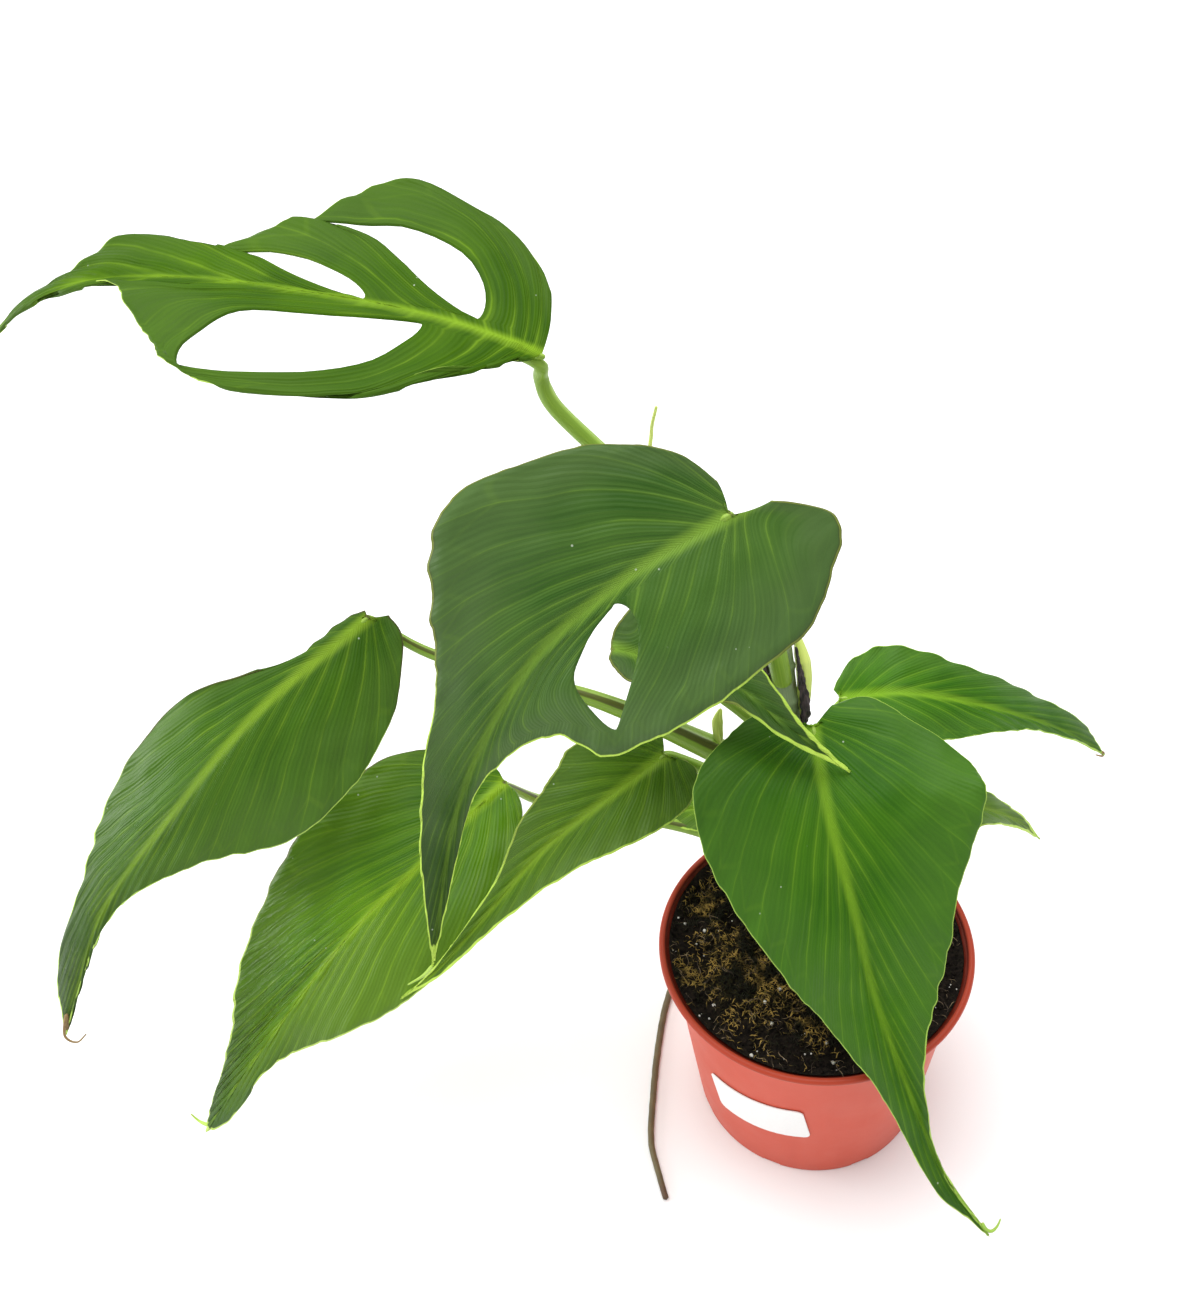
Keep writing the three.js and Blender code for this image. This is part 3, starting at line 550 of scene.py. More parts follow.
# midrib is the blade's spine, and face the way its upper side looks. far and near give where each
# side vein meets the margin, along and across the blade laid flat. Each half, near first, rises
# from the midrib by fold degrees and bends down again by bend degrees in 100 mm. A hole gives its
# half, its row, how wide each of its two banks opens and how far out that is, and how pointed its
# outer end is. stalk and radii are the stalk's path and its thickness.
LEAVES = {
    "leaf_a": {
        "midrib": [[-78, 70, 318], [-108, 80, 328], [-145, 93, 334], [-195, 115, 335],
            [-238, 132, 328], [-269, 144, 310], [-281, 151, 300]],
        "face": [0, -0.15, 1], "fold": [2, 10], "bend": [35, 8],
        "starts": [0, 0.02, 0.04, 0.085, 0.15, 0.24, 0.37, 0.53, 0.74, 1],
        "far": [[5, 24], [25, 44], [69, 56], [90, 29], [97, 30], [120, 13], [154, 20], [171, 8],
            [196, 4]],
        "near": [[3, -3], [20, -18], [51, -36], [82, -43], [106, -38], [126, -24], [149, -4],
            [171, -2], [196, -2]],
        "bow": [0.1, 0.2, 0.3, 0.33, 0.2, 0.14, 0.1, 0.1, 0.1, 0.1],
        "holes": [(1, 3, (12, 0.95), (13, 0.6), 0.4), (1, 5, (9, 0.9), (20, 0.65), 0.4),
            (-1, 4, (11, 0.9), (30, 0.9), 0)], "opens": (0.06, 0.96),
        "stalk": [[-9, 39, 209], [-18.5, 45, 226], [-32.5, 52, 247], [-48, 63, 266], [-65, 69, 285],
            [-76, 72, 299], [-79, 74, 308], [-79, 71, 317]],
        "radii": [3.9, 3.8, 3.5, 3.2, 3, 2.9, 2.8], "paint": "lofty",
    },
    "leaf_b": {
        "midrib": [[-30, 3, 300], [-64, -8, 288], [-93, -12, 262], [-120, -14, 210],
            [-138, -31, 150]],
        "face": [0, -0.75, 0.65], "fold": [8, 8], "bend": [30, 30],
        "starts": [0, 0, 0, 0.04, 0.1, 0.19, 0.34, 0.54, 0.76, 1],
        "far": [[-2, 10], [3, 21], [16, 32], [36, 42], [58, 48], [76, 33], [98, 20], [130, 13],
            [172, 6]],
        "near": [[-12, -3], [-25, -16], [-16, -29], [2, -40], [40, -43], [78, -36], [89, -17],
            [122, -5], [164, -3]],
        "holes": [(-1, 5, (10, 0.85), (14, 0.85), 0)], "opens": (0.09, 0.83),
        "stalk": [[-8, 32, 203], [-14, 27, 236], [-24, 15, 274], [-30, 4, 297]],
        "radii": [3.5, 3.4, 3, 2.8], "paint": "dark",
    },
    "leaf_c": {
        "midrib": [[-147, 50, 238], [-185, 28, 222], [-219, 10, 196], [-255, -1, 158],
            [-282, -14, 108]],
        "face": [-0.2, -0.6, 0.75], "fold": [-12, -15], "bend": [50, 10],
        "far": [[-1, 3], [6, 6], [16, 6], [28, 6], [46, 15], [74, 30], [110, 30], [144, 16],
            [186, 13]],
        "near": [[-6, -4], [-5, -12], [2, -20], [16, -32], [42, -40], [76, -37], [104, -17],
            [136, -5], [176, -1.5]],
        "stalk": [[-6, 22, 158], [-36, 29, 179], [-74, 36, 202], [-126, 47, 220], [-147, 50, 237]],
        "radii": [4.4, 4.4, 3.4, 2.3, 2], "paint": "tinged",
    },
    "leaf_d": {
        "midrib": [[-111, 41, 158], [-143, 11, 152], [-172, -4, 134], [-213, -21, 92],
            [-243, -29, 54]],
        "face": [-0.1, -0.5, 0.85], "fold": [2, 8], "bend": [40, 30],
        "far": [[-2, 7], [2, 20], [12, 31], [30, 40], [62, 41], [92, 35], [120, 26], [146, 12],
            [176, 5]],
        "near": [[1, -3], [2, -10], [10, -17], [26, -24], [52, -32], [84, -31], [114, -19],
            [142, -7], [176, -6]],
        "stalk": [[-4, 15, 120], [-40, 38, 122], [-80, 54, 122], [-100, 52, 134], [-111, 42, 157]],
        "radii": [3.6, 2.6, 2.3, 2.2, 2.1], "paint": "crinkled",
    },
    "leaf_e": {
        "midrib": [[-51, 33, 172], [-74, 15, 172], [-97, 0, 167], [-117, -12, 153],
            [-138, -24, 138], [-153, -27, 127]],
        "face": [0, -0.6, 0.8], "fold": [8, 8], "bend": [40, 40],
        "far": [[-4, 6], [2, 13], [11, 17], [19, 21], [29, 22], [42, 17], [58, 12], [74, 6],
            [96, 3]],
        "near": [[-4, -5], [-6, -10], [-4, -14], [6, -20], [22, -20], [40, -16], [62, -11],
            [84, -6], [108, -3]],
        "stalk": [[-5, 18, 136], [-26, 28, 157], [-46, 34, 169], [-51, 33, 171]],
        "radii": [3.4, 2.4, 2.2], "paint": "young",
    },
    "leaf_f": {
        "midrib": [[0, 18, 194], [0, -10, 182], [5, -32, 157], [11, -48, 125], [23, -70, 86],
            [32, -82.5, 62], [46, -95, 40]],
        "face": [0, -0.7, 0.7], "fold": [8, 8], "bend": [30, 30],
        "far": [[-4, 12], [-6, 21], [4, 33], [21, 44], [46, 41], [76, 30], [105, 18], [138, 9],
            [178, 5.5]],
        "near": [[-8, -8], [-9, -20], [1, -33], [20, -51], [45, -49], [70, -34], [98, -23],
            [126, -9], [162, -1.2]],
        "stalk": [[-3, 16, 124], [6, 17, 152], [8, 22, 178], [1, 21, 191]],
        "radii": [3.6, 2.8, 2.4, 2.3], "paint": "grown",
    },
    "leaf_g": {
        "midrib": [[18, 52, 172], [39, 46, 178], [71, 46, 166], [105, 52, 142], [129, 57, 118]],
        "face": [0.1, -0.3, 0.95], "fold": [5, 5], "bend": [30, 30],
        "far": [[-3, 5], [-1, 9], [4, 13], [14, 19], [30, 19], [46, 15], [64, 10], [84, 5],
            [108, 3]],
        "near": [[-3, -4], [-1, -9], [3, -15], [14, -19], [32, -18], [52, -15], [76, -14],
            [98, -11], [118, -8]],
        "stalk": [[-5, 21, 142], [6, 42, 159], [18, 53, 171]],
        "radii": [3.4, 2.4, 2], "paint": "grown",
    },
    "leaf_h": {
        "midrib": [[32, 54, 128], [62, 42, 120], [90, 46, 98], [106, 49, 78]],
        "face": [0.1, -0.3, 0.95], "fold": [5, 5], "bend": [30, 30],
        "far": [[-3, 5], [-4, 10], [0, 15], [9, 18], [22, 18], [36, 15], [48, 9], [62, 6], [78, 3]],
        "near": [[-3, -5], [-4, -9], [0, -12], [8, -14], [18, -14], [32, -12], [50, -8], [64, -6],
            [78, -4]],
        "stalk": [[-3, 13, 104], [14, 36, 116], [32, 54, 127]],
        "radii": [3, 2.2, 1.9], "paint": "young",
    },
    "leaf_i": {
        "midrib": [[-23, 46, 126], [-38, 45, 127], [-56, 50, 119]],
        "face": [-0.1, -0.3, 0.95], "fold": [5, 5], "bend": [30, 30],
        "far": [[-2, 3], [-2, 6], [1, 9], [6, 12], [12, 12], [17, 10], [22, 8], [26, 5], [30, 2]],
        "near": [[-2, -3], [-2, -6], [1, -9], [6, -12], [12, -12], [17, -10], [22, -8], [26, -5],
            [30, -2]],
        "stalk": [[-3, 12, 98], [-12, 31, 110], [-23, 46, 125]],
        "radii": [2.4, 1.8, 1.5], "paint": "young",
    },
    "leaf_j": {
        "midrib": [[-54, 36, 218], [-28, 21, 216], [-11, 8, 206], [9, 0, 190]],
        "face": [0.3, -0.3, 0.9], "fold": [35, 0], "bend": [0, 0],
        "far": [[-9, 0.2], [-13, 0.3], [-12, 5.5], [-5, 10.5], [5, 12.3], [18, 11.5], [30, 7],
            [44, 5.5], [60, 4]],
        "near": [[-9, 0.1], [-13.8, 0.6], [-14, -8], [-8, -19], [4, -21], [18, -17], [32, -11],
            [46, -7], [62, -3]],
        "stalk": [[-6, 26, 172], [-24, 33, 192], [-44, 39, 208], [-54, 37, 217]],
        "radii": [3, 2, 1.8, 1.6], "paint": "dark",
    },
}


def through(rows, place):
    """Values between the rows of a table, on a smooth curve through them."""
    rows = np.array(rows, float)
    low = np.minimum(place.astype(int), len(rows) - 2)
    t = (place - low)[:, None]
    a, b, c, d = (rows[np.clip(low + k, 0, len(rows) - 1)] for k in (-1, 0, 1, 2))
    return 0.5 * (2 * b + (c - a) * t + (2 * a - 5 * b + 4 * c - d) * t ** 2
                  + (3 * b - 3 * c + d - a) * t ** 3)


ROWS_TO_A_VEIN = 16
COLUMNS = 28
FIRST_VEIN = 10
SPACING, WIDENS = 30, 2.4  # the square of the gap between two veins, and its growth


def vein_number(x, y):
    """Which side vein passes through a flat place. The first ones leave the stalk's end at half a
    right angle, the next ones ever more steeply, and those behind it fan out into the lobes."""
    y = np.abs(y)
    start = x - 0.8 * y - 0.012 * y ** 2
    ahead = np.maximum(start / (1 + 0.08 * y), 0)
    fan = 2.6 * start / np.sqrt(x ** 2 + y ** 2 + 36)
    count = (np.sqrt(SPACING + WIDENS * ahead) - math.sqrt(SPACING)) * 2 / WIDENS
    return FIRST_VEIN + np.where(start > 0, count, fan)


def flat_half(leaf, side, length, veins, banks, t):
    """Where one half's rows and columns lie before the blade is bent, along it and across it,
    with the side vein's number there. A hole is a row whose two banks draw apart."""
    starts = leaf.get("starts", VEINS)
    margin = leaf["far" if side > 0 else "near"] + [[length, 0]]
    bows = leaf.get("bow", BOWS)
    table = [[*edge, start * length, bow] for edge, start, bow in zip(margin, starts, bows)]

    def spot(vein):
        vein = np.broadcast_to(vein, (vein.shape[0], t.shape[1]))
        rows = through(table, vein.ravel()).T.reshape(4, *vein.shape)
        along, across, start, bow = rows
        dx, dy = along - start, across
        elbow_x = start + dx / 2 - np.abs(dy) * bow
        elbow_y = dy / 2 + side * np.abs(dx) * bow
        a, b, c = (1 - t) ** 2, 2 * t * (1 - t), t ** 2
        return a * start + b * elbow_x + c * along, b * elbow_y + c * across

    veins = veins[:, None]
    x, y = spot(veins)
    number = vein_number(x, y)
    if "bow" in leaf:
        number = FIRST_VEIN + 1.4 * np.broadcast_to(veins, x.shape)
    low, high = leaf.get("opens", OPENS)
    inside = np.clip((t - low) / (high - low), 0, 1)
    moved = np.broadcast_to(veins, x.shape).copy()
    for half, hole, *edges, point in leaf.get("holes", []):
        if half == side:
            away = veins - hole
            bank = np.sign(np.where(away, away, banks[:, None]))
            edge_x, edge_y = spot(np.full((1, 1), float(hole)))
            for way, (wide, skew) in zip((-1, 1), edges):
                next_x, next_y = spot(np.full((1, 1), float(hole + way)))
                apart = np.hypot(next_x - edge_x, next_y - edge_y)
                gap = np.maximum(np.sin(np.pi * inside ** skew), 0) ** 0.8 * (1 - inside) ** point
                shift = np.minimum(wide * gap / apart, 1.7)
                near = np.maximum(1 - np.abs(away) / 2, 0)
                moved += np.where(bank == way, way * shift * near, 0)
    x, y = spot(moved)
    seed = leaf["midrib"][0][0] + side
    uneven = [noise.noise(Vector((vein * 2.3, seed, 0)))
              + 0.6 * noise.noise(Vector((vein * 6, seed, 7))) for vein in veins[:, 0]]
    uneven = 1 + 0.018 * np.array(uneven)[:, None] * t ** 6
    return x * uneven, y * uneven, number


def blade(name, leaf):
    """The blade's upper face as a grid, opened at its holes, then thickened downwards."""
    centres, ways, length = spline(leaf["midrib"], CURVE_STEPS)
    holes = leaf.get("holes", [])
    veins, banks = [], []
    for i in range((len(VEINS) - 1) * ROWS_TO_A_VEIN + 1):
        vein = i / ROWS_TO_A_VEIN
        split = any(vein == hole[1] for hole in holes)
        veins += [vein] * (2 if split else 1)
        banks += [-1, 1] if split else [0]
    veins, banks = np.array(veins), np.array(banks)
    low, high = leaf.get("opens", OPENS)
    shares = (1 - np.cos(np.linspace(0, np.pi, COLUMNS - 4))) / 2
    t = np.r_[0, low * 0.3, low * 0.65, low + (high - low) * shares, (1 + high) / 2, 1]
    halves = [flat_half(leaf, side, length, veins, banks, t[None, :]) for side in (-1, 1)]
    x, y, number = (np.hstack([near[:, :0:-1], far]) for near, far in zip(*halves))
    t = np.r_[t[:0:-1], t]

    # The midrib lies in a groove, the blade swells between the side veins, and it waves a little
    # towards its margin. It is smooth where the stalk joins it.
    rib = np.abs(y)
    joint = np.clip(np.hypot(x, y) / 12, 0, 1) ** 1.5
    groove = -GROOVE * np.exp(-(rib / COSTA_HALF) ** 2)
    swell = SWELL * (1 - np.cos(math.tau * number)) * np.sin(np.pi * np.clip(t, 0, 1) ** 0.6)
    seed = leaf["midrib"][0][0]

    def waves(long, wide):
        spots = zip((x / long).ravel(), (y / wide).ravel())
        return np.reshape([noise.noise(Vector((*spot, seed))) for spot in spots], x.shape)

    wave = WAVE * waves(34, 34) * t ** 1.5 + SMALL_WAVE * waves(13, 9) * np.clip(t * 3, 0, 1)
    frill = FRILL * t ** 4 * np.sin(number * 6.3 + seed)
    still = np.clip((length - x) / 60, 0.1, 1)
    lift = BLADE / 2 + (groove + swell + (wave + frill) * still) * joint

    share = np.clip(x / length, 0, 1)
    steps = np.linspace(0, 1, CURVE_STEPS)
    point, way = (np.stack([np.interp(share, steps, rows[:, k]) for k in range(3)], -1)
                  for rows in (centres, ways))
    point = point + way * (x - share * length)[..., None]
    face = np.array(leaf["face"], float)
    up = face - way * (way @ face)[..., None]
    up /= np.linalg.norm(up, axis=-1, keepdims=True)
    right = np.cross(way, up)
    half = (y > 0).astype(int)
    fold = np.radians(leaf["fold"])[half]
    bend = np.maximum(np.radians(leaf["bend"])[half] / 100, 1e-6)
    reach = np.abs(y)
    lean = fold - bend * reach
    out = (np.sin(fold) - np.sin(lean)) / bend - lift * np.sin(lean)
    rise = (np.cos(lean) - np.cos(fold)) / bend + lift * np.cos(lean)
    place = point + right * (np.sign(y) * out)[..., None] + up * rise[..., None]

    # Each place keeps its side vein's number, how far apart the veins are there, and how far away
    # the margin is, because the leaf's materials follow them.
    piece, i, j = grid(name, len(veins), len(t), place)
    steep = np.hypot(vein_number(x + 0.5, y) - vein_number(x, y),
                     vein_number(x, np.abs(y) + 0.5) - vein_number(x, y))
    apart = np.minimum(0.5 / np.maximum(steep, 1e-3), 25)
    edge = np.linalg.norm(place - place[:, :1], axis=2)
    edge = np.minimum(edge, np.linalg.norm(place - place[:, -1:], axis=2))
    edge = np.minimum(edge, np.linalg.norm(place - place[:1], axis=2) + 0.3 * np.hypot(x, y).min(0))
    for title, values in (
        ("veins", (number, apart, edge)),
        ("blade", (x / length, t * np.sign(y), rib)),
    ):
        layer = piece.data.attributes.new(title, "FLOAT_VECTOR", "POINT")
        layer.data.foreach_set("vector", np.stack(values, -1)[i, j].astype(np.float32).ravel())

    ridge = COSTA * (1 - share) * np.clip(x / 8, 0, 1)
    ridge = ridge * np.sqrt(np.clip(1 - (rib / COSTA_HALF) ** 2, 0, 1))
    thick = (BLADE * (0.55 + 0.45 * np.minimum(edge / 3, 1)) + ridge) / (BLADE + COSTA)
    group = piece.vertex_groups.new(name="thickness")
    for index, weight in enumerate(thick[i, j]):
        group.add([index], float(weight), "REPLACE")

    bpy.ops.object.mode_set(mode="EDIT")
    bpy.ops.mesh.select_all(action="DESELECT")
    bpy.ops.object.mode_set(mode="OBJECT")
    middle = (t[:-1] + t[1:]) / 2
    opened = (middle > low) & (middle < high)
    cuts = {(int(np.flatnonzero(veins == hole)[0]), side > 0) for side, hole, *_ in holes}
    for polygon in piece.data.polygons:
        row, column = (int(index[list(polygon.vertices)].min()) for index in (i, j))
        polygon.select = bool(opened[column]) and (row, column >= COLUMNS) in cuts
    bpy.ops.object.mode_set(mode="EDIT")
    bpy.ops.mesh.delete(type="FACE")
    bpy.ops.object.mode_set(mode="OBJECT")
    weld(piece, 0.000001)
    if piece.data.polygons[0].normal.dot(Vector(leaf["face"])) < 0:
        piece.data.flip_normals()
    solid = piece.modifiers.new("thickness", "SOLIDIFY")
    solid.thickness = (BLADE + COSTA) * 0.001
    solid.offset = -1
    solid.vertex_group = "thickness"
    solid.material_offset = 1
    solid.material_offset_rim = 2
    bpy.ops.object.modifier_apply(modifier=solid.name)
    return piece


def leaf_paints(name, dark, light, vein, haze_and_sheen, margin, tinge=0.0, crinkle=0.0, gloss=0.2,
                edging=1.0, depth=0.6):
    """The upper face, the underside and the margin of one kind of leaf. haze is the dimmer, greyer
    green of its outer part, which is partly its own colour and partly a painted sheen, and also the
    colour of the painted shade on a creased leaf's near half. tinge is how brown its upper margin
    is, crinkle how creased and shiny its tip is and how strong that painted shade is, gloss how
    shiny it is all over, edging how wide its pale margin is, and depth how dark the painted shade
    on its hanging tip is."""
    upper = Paint(name + "_upper", Specular_IOR_Level=gloss)
    number, apart, edge = (upper.kept("veins", k) for k in range(3))
    along, side, rib = (upper.kept("blade", k) for k in range(3))
    across = abs(side)
    bent = number + 0.3 * (upper.mottle(26, 2) - 0.5)
    from_vein = abs(bent.fraction() - 0.5)
    off = (0.5 - from_vein) * apart
    run = upper.node("CombineXYZ", {0: bent * 5, 1: across * 1.5, 2: along})
    streak = upper.noise(run, 3)
    threads = abs((bent * 6).fraction() - 0.5) * 2
    fade = upper.step(across, 0.95, 0.55) * upper.step(streak, 0.3, 0.6)
    patchy = 0.3 + 0.7 * upper.step(upper.mottle(26, 3), 0.4, 0.6)

    colour = upper.mix(upper.step(streak, 0.3, 0.7) * 0.55, dark, light)
    colour = upper.mix(upper.step(upper.mottle(38, 2), 0.4, 0.65) * 0.5, colour, light)
    # The outer part turns a greyer green, partly the leaf's own colour and partly a painted sheen.
    outer = upper.step(across + 0.5 * upper.mottle(22, 3), 0.5, 1.05)
    colour = upper.mix(outer * 0.6, colour, haze_and_sheen)
    # Painted shade: on a creased leaf the near half darkens, from a little past the base to the
    # tip.
    painted_shade_near_half = upper.step(side, 0.05, -0.2) * upper.step(along, 0.1, 0.45) * crinkle
    colour = upper.mix(painted_shade_near_half * 0.75, colour, haze_and_sheen)
    # Painted shade: the hanging tip is darkened towards a darker green.
    painted_tip_shade = upper.step(along, 0.5, 0.95) * (1 - 0.5 * upper.mottle(18, 2))
    colour = upper.mix(painted_tip_shade * depth, colour, tuple(0.55 * part for part in dark))
    colour = upper.mix(upper.step(threads, 0.3, 0.0) * fade * 0.3, colour, dark)
    colour = upper.mix(upper.step(threads, 0.7, 1.0) * fade * 0.06, colour, vein)
    broad = upper.step(off, 2.0 - 1.2 * across, 0.0)
    colour = upper.mix(broad * (0.16 - 0.13 * across) * patchy, colour, vein)
    line = upper.step(off, 0.42 - 0.2 * across, 0.05)
    colour = upper.mix(line * (0.34 - 0.2 * across) * patchy, colour, vein)
    bay = 0.93 - 0.3 * from_vein
    net = upper.step(abs(across - bay) * apart, 0.3, 0.05) * upper.step(along, 0.6, 0.4)
    colour = upper.mix(net * 0.07 * patchy, colour, vein)
    centre = upper.step(rib, 3.8 - 3.5 * along, 0.3 - 0.2 * along)
    colour = upper.mix(centre * (0.85 - 0.6 * along), colour, vein)
    brim = edging * (0.8 + upper.step(along, 0.45, 0.85))
    colour = upper.mix(upper.step(edge - brim, 0.0, -0.4), colour, margin)
    shoulder = upper.step(along, 0.12, 0.02)
    far = upper.step(side, 0.0, 0.1) * upper.step(along, 0.6, 0.4)
    brown = upper.step(edge, 1.3, 0.2) * (shoulder + far * (1 - shoulder))
    colour = upper.mix(brown * tinge, colour, (0.055, 0.03, 0.02))
    speck = upper.node("TexVoronoi", {"Vector": upper.places(), "Scale": 210.0})
    rare = upper.step(speck, 0.09, 0.05) * upper.step(upper.mottle(17, 2), 0.6, 0.64)
    colour = upper.mix(rare * 0.6, colour, (0.6, 0.68, 0.55))

    shiny = upper.step(along, 0.3, 0.55) * upper.step(side, -0.3, 0.2)
    folds = shiny * upper.step(rib, 1.0, 5.0)
    creases = upper.node("CombineXYZ", {0: bent * 4, 1: across * 2, 2: along * 7})
    creases = upper.noise(creases, 4)
    dimples = upper.bump(upper.mottle(2.2, 3), 0.1)
    ribbed = upper.bump(threads, 0.1, below=dimples)
    soft = upper.bump(streak, 0.5, 0.35, below=ribbed)
    upper.feeds(
        Base_Color=colour,
        Roughness=0.36 + 0.16 * upper.mottle(8, 3) - (0.12 + 0.06 * crinkle) * shiny,
        Normal=upper.bump(creases * folds, 0.3 + 0.7 * crinkle, 0.5 + 1.5 * crinkle, below=soft),
    )

    under = Paint(name + "_underside", Roughness=0.55, Specular_IOR_Level=0.3)
    number, apart, rib = under.kept("veins", 0), under.kept("veins", 1), under.kept("blade", 2)
    from_vein = abs(number.fraction() - 0.5)
    colour = under.mix(under.mottle(20, 3), light, vein)
    colour = under.mix(under.step((0.5 - from_vein) * apart, 0.9, 0.2) * 0.6, colour, margin)
    colour = under.mix(under.step(rib, 2.4, 1.2), colour, margin)
    under.feeds(Base_Color=colour, Normal=under.bump(under.mottle(1.5, 3), 0.08))

    rim = Paint(name + "_margin", Roughness=0.45)
    along, side = (rim.kept("blade", k) for k in range(2))
    brown = rim.step(side, 0.0, 0.1) * rim.step(along, 0.6, 0.4) * tinge
    colour = rim.mix(rim.mottle(12, 3), margin, vein)
    rim.feeds(Base_Color=rim.mix(brown, colour, (0.07, 0.035, 0.02)))
    return [upper, under, rim]


PAINTS = {
    "lofty": leaf_paints("lofty_leaf", (0.030, 0.090, 0.002), (0.066, 0.160, 0.003),
                         (0.24, 0.42, 0.02), (0.068, 0.14, 0.016), (0.40, 0.58, 0.10),
                         gloss=0.05, edging=0.5),
    "grown": leaf_paints("grown_leaf", (0.022, 0.098, 0.003), (0.058, 0.175, 0.006),
                         (0.20, 0.38, 0.02), (0.060, 0.150, 0.018), (0.40, 0.60, 0.10),
                         gloss=0.1, edging=0.6),
    "tinged": leaf_paints("tinged_leaf", (0.026, 0.085, 0.003), (0.060, 0.155, 0.006),
                          (0.22, 0.37, 0.02), (0.07, 0.145, 0.020), (0.45, 0.66, 0.12),
                          tinge=0.85, crinkle=0.4, gloss=0.12, edging=0.7, depth=1.1),
    "dark": leaf_paints("dark_leaf", (0.026, 0.083, 0.008), (0.068, 0.150, 0.022),
                        (0.19, 0.34, 0.035), (0.075, 0.13, 0.040), (0.50, 0.72, 0.10),
                        tinge=0.8, gloss=0.12, depth=1.1),
    "young": leaf_paints("young_leaf", (0.055, 0.140, 0.004), (0.120, 0.250, 0.009),
                         (0.28, 0.46, 0.03), (0.10, 0.19, 0.030), (0.5, 0.72, 0.10), tinge=0.5),
    "crinkled": leaf_paints("crinkled_leaf", (0.045, 0.150, 0.001), (0.135, 0.310, 0.002),
                            (0.34, 0.56, 0.02), (0.09, 0.18, 0.010), (0.5, 0.70, 0.12),
                            tinge=0.85, crinkle=1.0, gloss=0.24, depth=1.1),
}


def stalk_paint(name, split):
    """Green with fine lines along it. split is how brown the channel on its upper side is."""
    paint = Paint(name, Roughness=0.4, Specular_IOR_Level=0.35)
    ridges = paint.lines((2, 40), 3)
    colour = paint.mix(ridges, (0.12, 0.25, 0.015), (0.33, 0.50, 0.06))
    turn = paint.part(paint.node("UVMap", uv_map="UVMap"), 1)
    upper = paint.step(abs(turn - 0.25), 0.16, 0.10)
    colour = paint.mix(upper * 0.5, colour, (0.42, 0.62, 0.10))
    groove = paint.step(abs(turn - 0.38) + 0.03 * paint.mottle(9, 4), 0.085, 0.055)
    colour = paint.mix(groove * split, colour, (0.05, 0.022, 0.01))
    paint.feeds(Base_Color=colour, Normal=paint.bump(ridges, 0.15))
    return paint


STALK = stalk_paint("leaf_stalk", 0.0)
SPLIT_STALK = stalk_paint("split_leaf_stalk", 0.75)
DRY_TIP = Paint("dry_leaf_tip", Roughness=0.7)
DRY_TIP.feeds(Base_Color=DRY_TIP.mix(DRY_TIP.mottle(1.5, 3), (0.12, 0.06, 0.02),
                                     (0.36, 0.25, 0.10)))
STALK_STEPS = 60
STALK_REACH = 9  # how far a stalk runs on under its blade, in millimetres

# Some drip tips end in a small curl, either as pale as the leaf's margin or dry.
TIPS = {
    "leaf_b": ([[-138, -31, 150], [-142, -31, 145], [-148, -32, 142]], "margin"),
    "leaf_c": ([[-281, -13.5, 110], [-279, -12, 117], [-281.2, -16, 110], [-277, -18, 108],
                [-273, -16, 110]], "dry"),
    "leaf_d": ([[-241, -28.5, 57], [-246, -25, 55], [-249, -23, 58]], "margin"),
    "leaf_f": ([[44, -92, 44], [45.6, -93.6, 41.4], [47.6, -94, 40.8], [49.6, -93, 42],
                [51.2, -91.2, 44.1]], "margin"),
    "leaf_g": ([[127, 57, 120], [128.5, 57.8, 118], [129, 59, 115], [127, 61, 114]], "dry"),
}


def grooved(r, s, turn):
    """A stalk has a shallow channel along its upper side and a swollen knee under the blade."""
    end = s[-1, 0]
    channel = 0.18 * np.exp(-((turn - math.pi / 2) / 0.35) ** 2)
    knee = 0.1 * np.exp(-((s - end + 8) / 4) ** 2)
    return r * (1 - channel * np.clip(s / 20, 0, 1) + knee)


def winged(r, s, turn):
    """The lower half of a stalk that wraps the stem has two thin wings beside its channel."""
    wings = sum(np.exp(-((turn - math.pi / 2 - lean) / 0.2) ** 2) for lean in (-0.75, 0.75))
    return grooved(r, s, turn) + 1.1 * wings * np.clip(1.5 - s / 45, 0, 1) * np.clip(s / 8, 0, 1)


def joined(pieces):
    """Makes one object of several, which keeps the first one's name."""
    bpy.ops.object.select_all(action="DESELECT")
    for piece in pieces:
        piece.select_set(True)
    bpy.context.view_layer.objects.active = pieces[0]
    bpy.ops.object.join()
    return pieces[0]


for name, leaf in LEAVES.items():
    piece = blade(name + "_grown", leaf)
    paints = PAINTS[leaf["paint"]]
    for paint in paints:
        piece.data.materials.append(paint.material)
    centres, ways, length = spline(leaf["midrib"], STALK_STEPS)
    face = np.array(leaf["face"], float)
    up = face - ways[0] * (ways[0] @ face)
    up /= np.linalg.norm(up)
    under = centres[0] - up * (leaf["radii"][-1] * 1.1 + 0.4)
    end = centres[int(STALK_REACH * STALK_STEPS / length)] - up * (COSTA + 1)
    split = name in ("leaf_c", "leaf_d")
    stalk = rod(name + "_stalk", [*leaf["stalk"][:-1], under, end], leaf["radii"] + [COSTA],
                sides=36, shape=winged if split else grooved)
    stalk.data.materials.append((SPLIT_STALK if split else STALK).material)
    r = leaf["radii"][-1]
    bend = [centres[0] + ways[0] * on - up * down for on, down in ((-1.2, 0.5), (0, 0.1), (4, 0.6))]
    joint = rod(name + "_joint", bend, [0.3 * r, 0.45 * r, 0.4], sides=20, step=0.3)
    joint.data.materials.append(STALK.material)
    parts = [piece, stalk, joint]
    if name in TIPS:
        points, finish = TIPS[name]
        tip = rod(name + "_tip", points, [0.7, 0.7, 0.45, 0.25], sides=10, step=0.5)
        tip.data.materials.append((DRY_TIP if finish == "dry" else paints[2]).material)
        parts.append(tip)
    piece = joined(parts)
    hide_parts(name)
    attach(piece, "root")

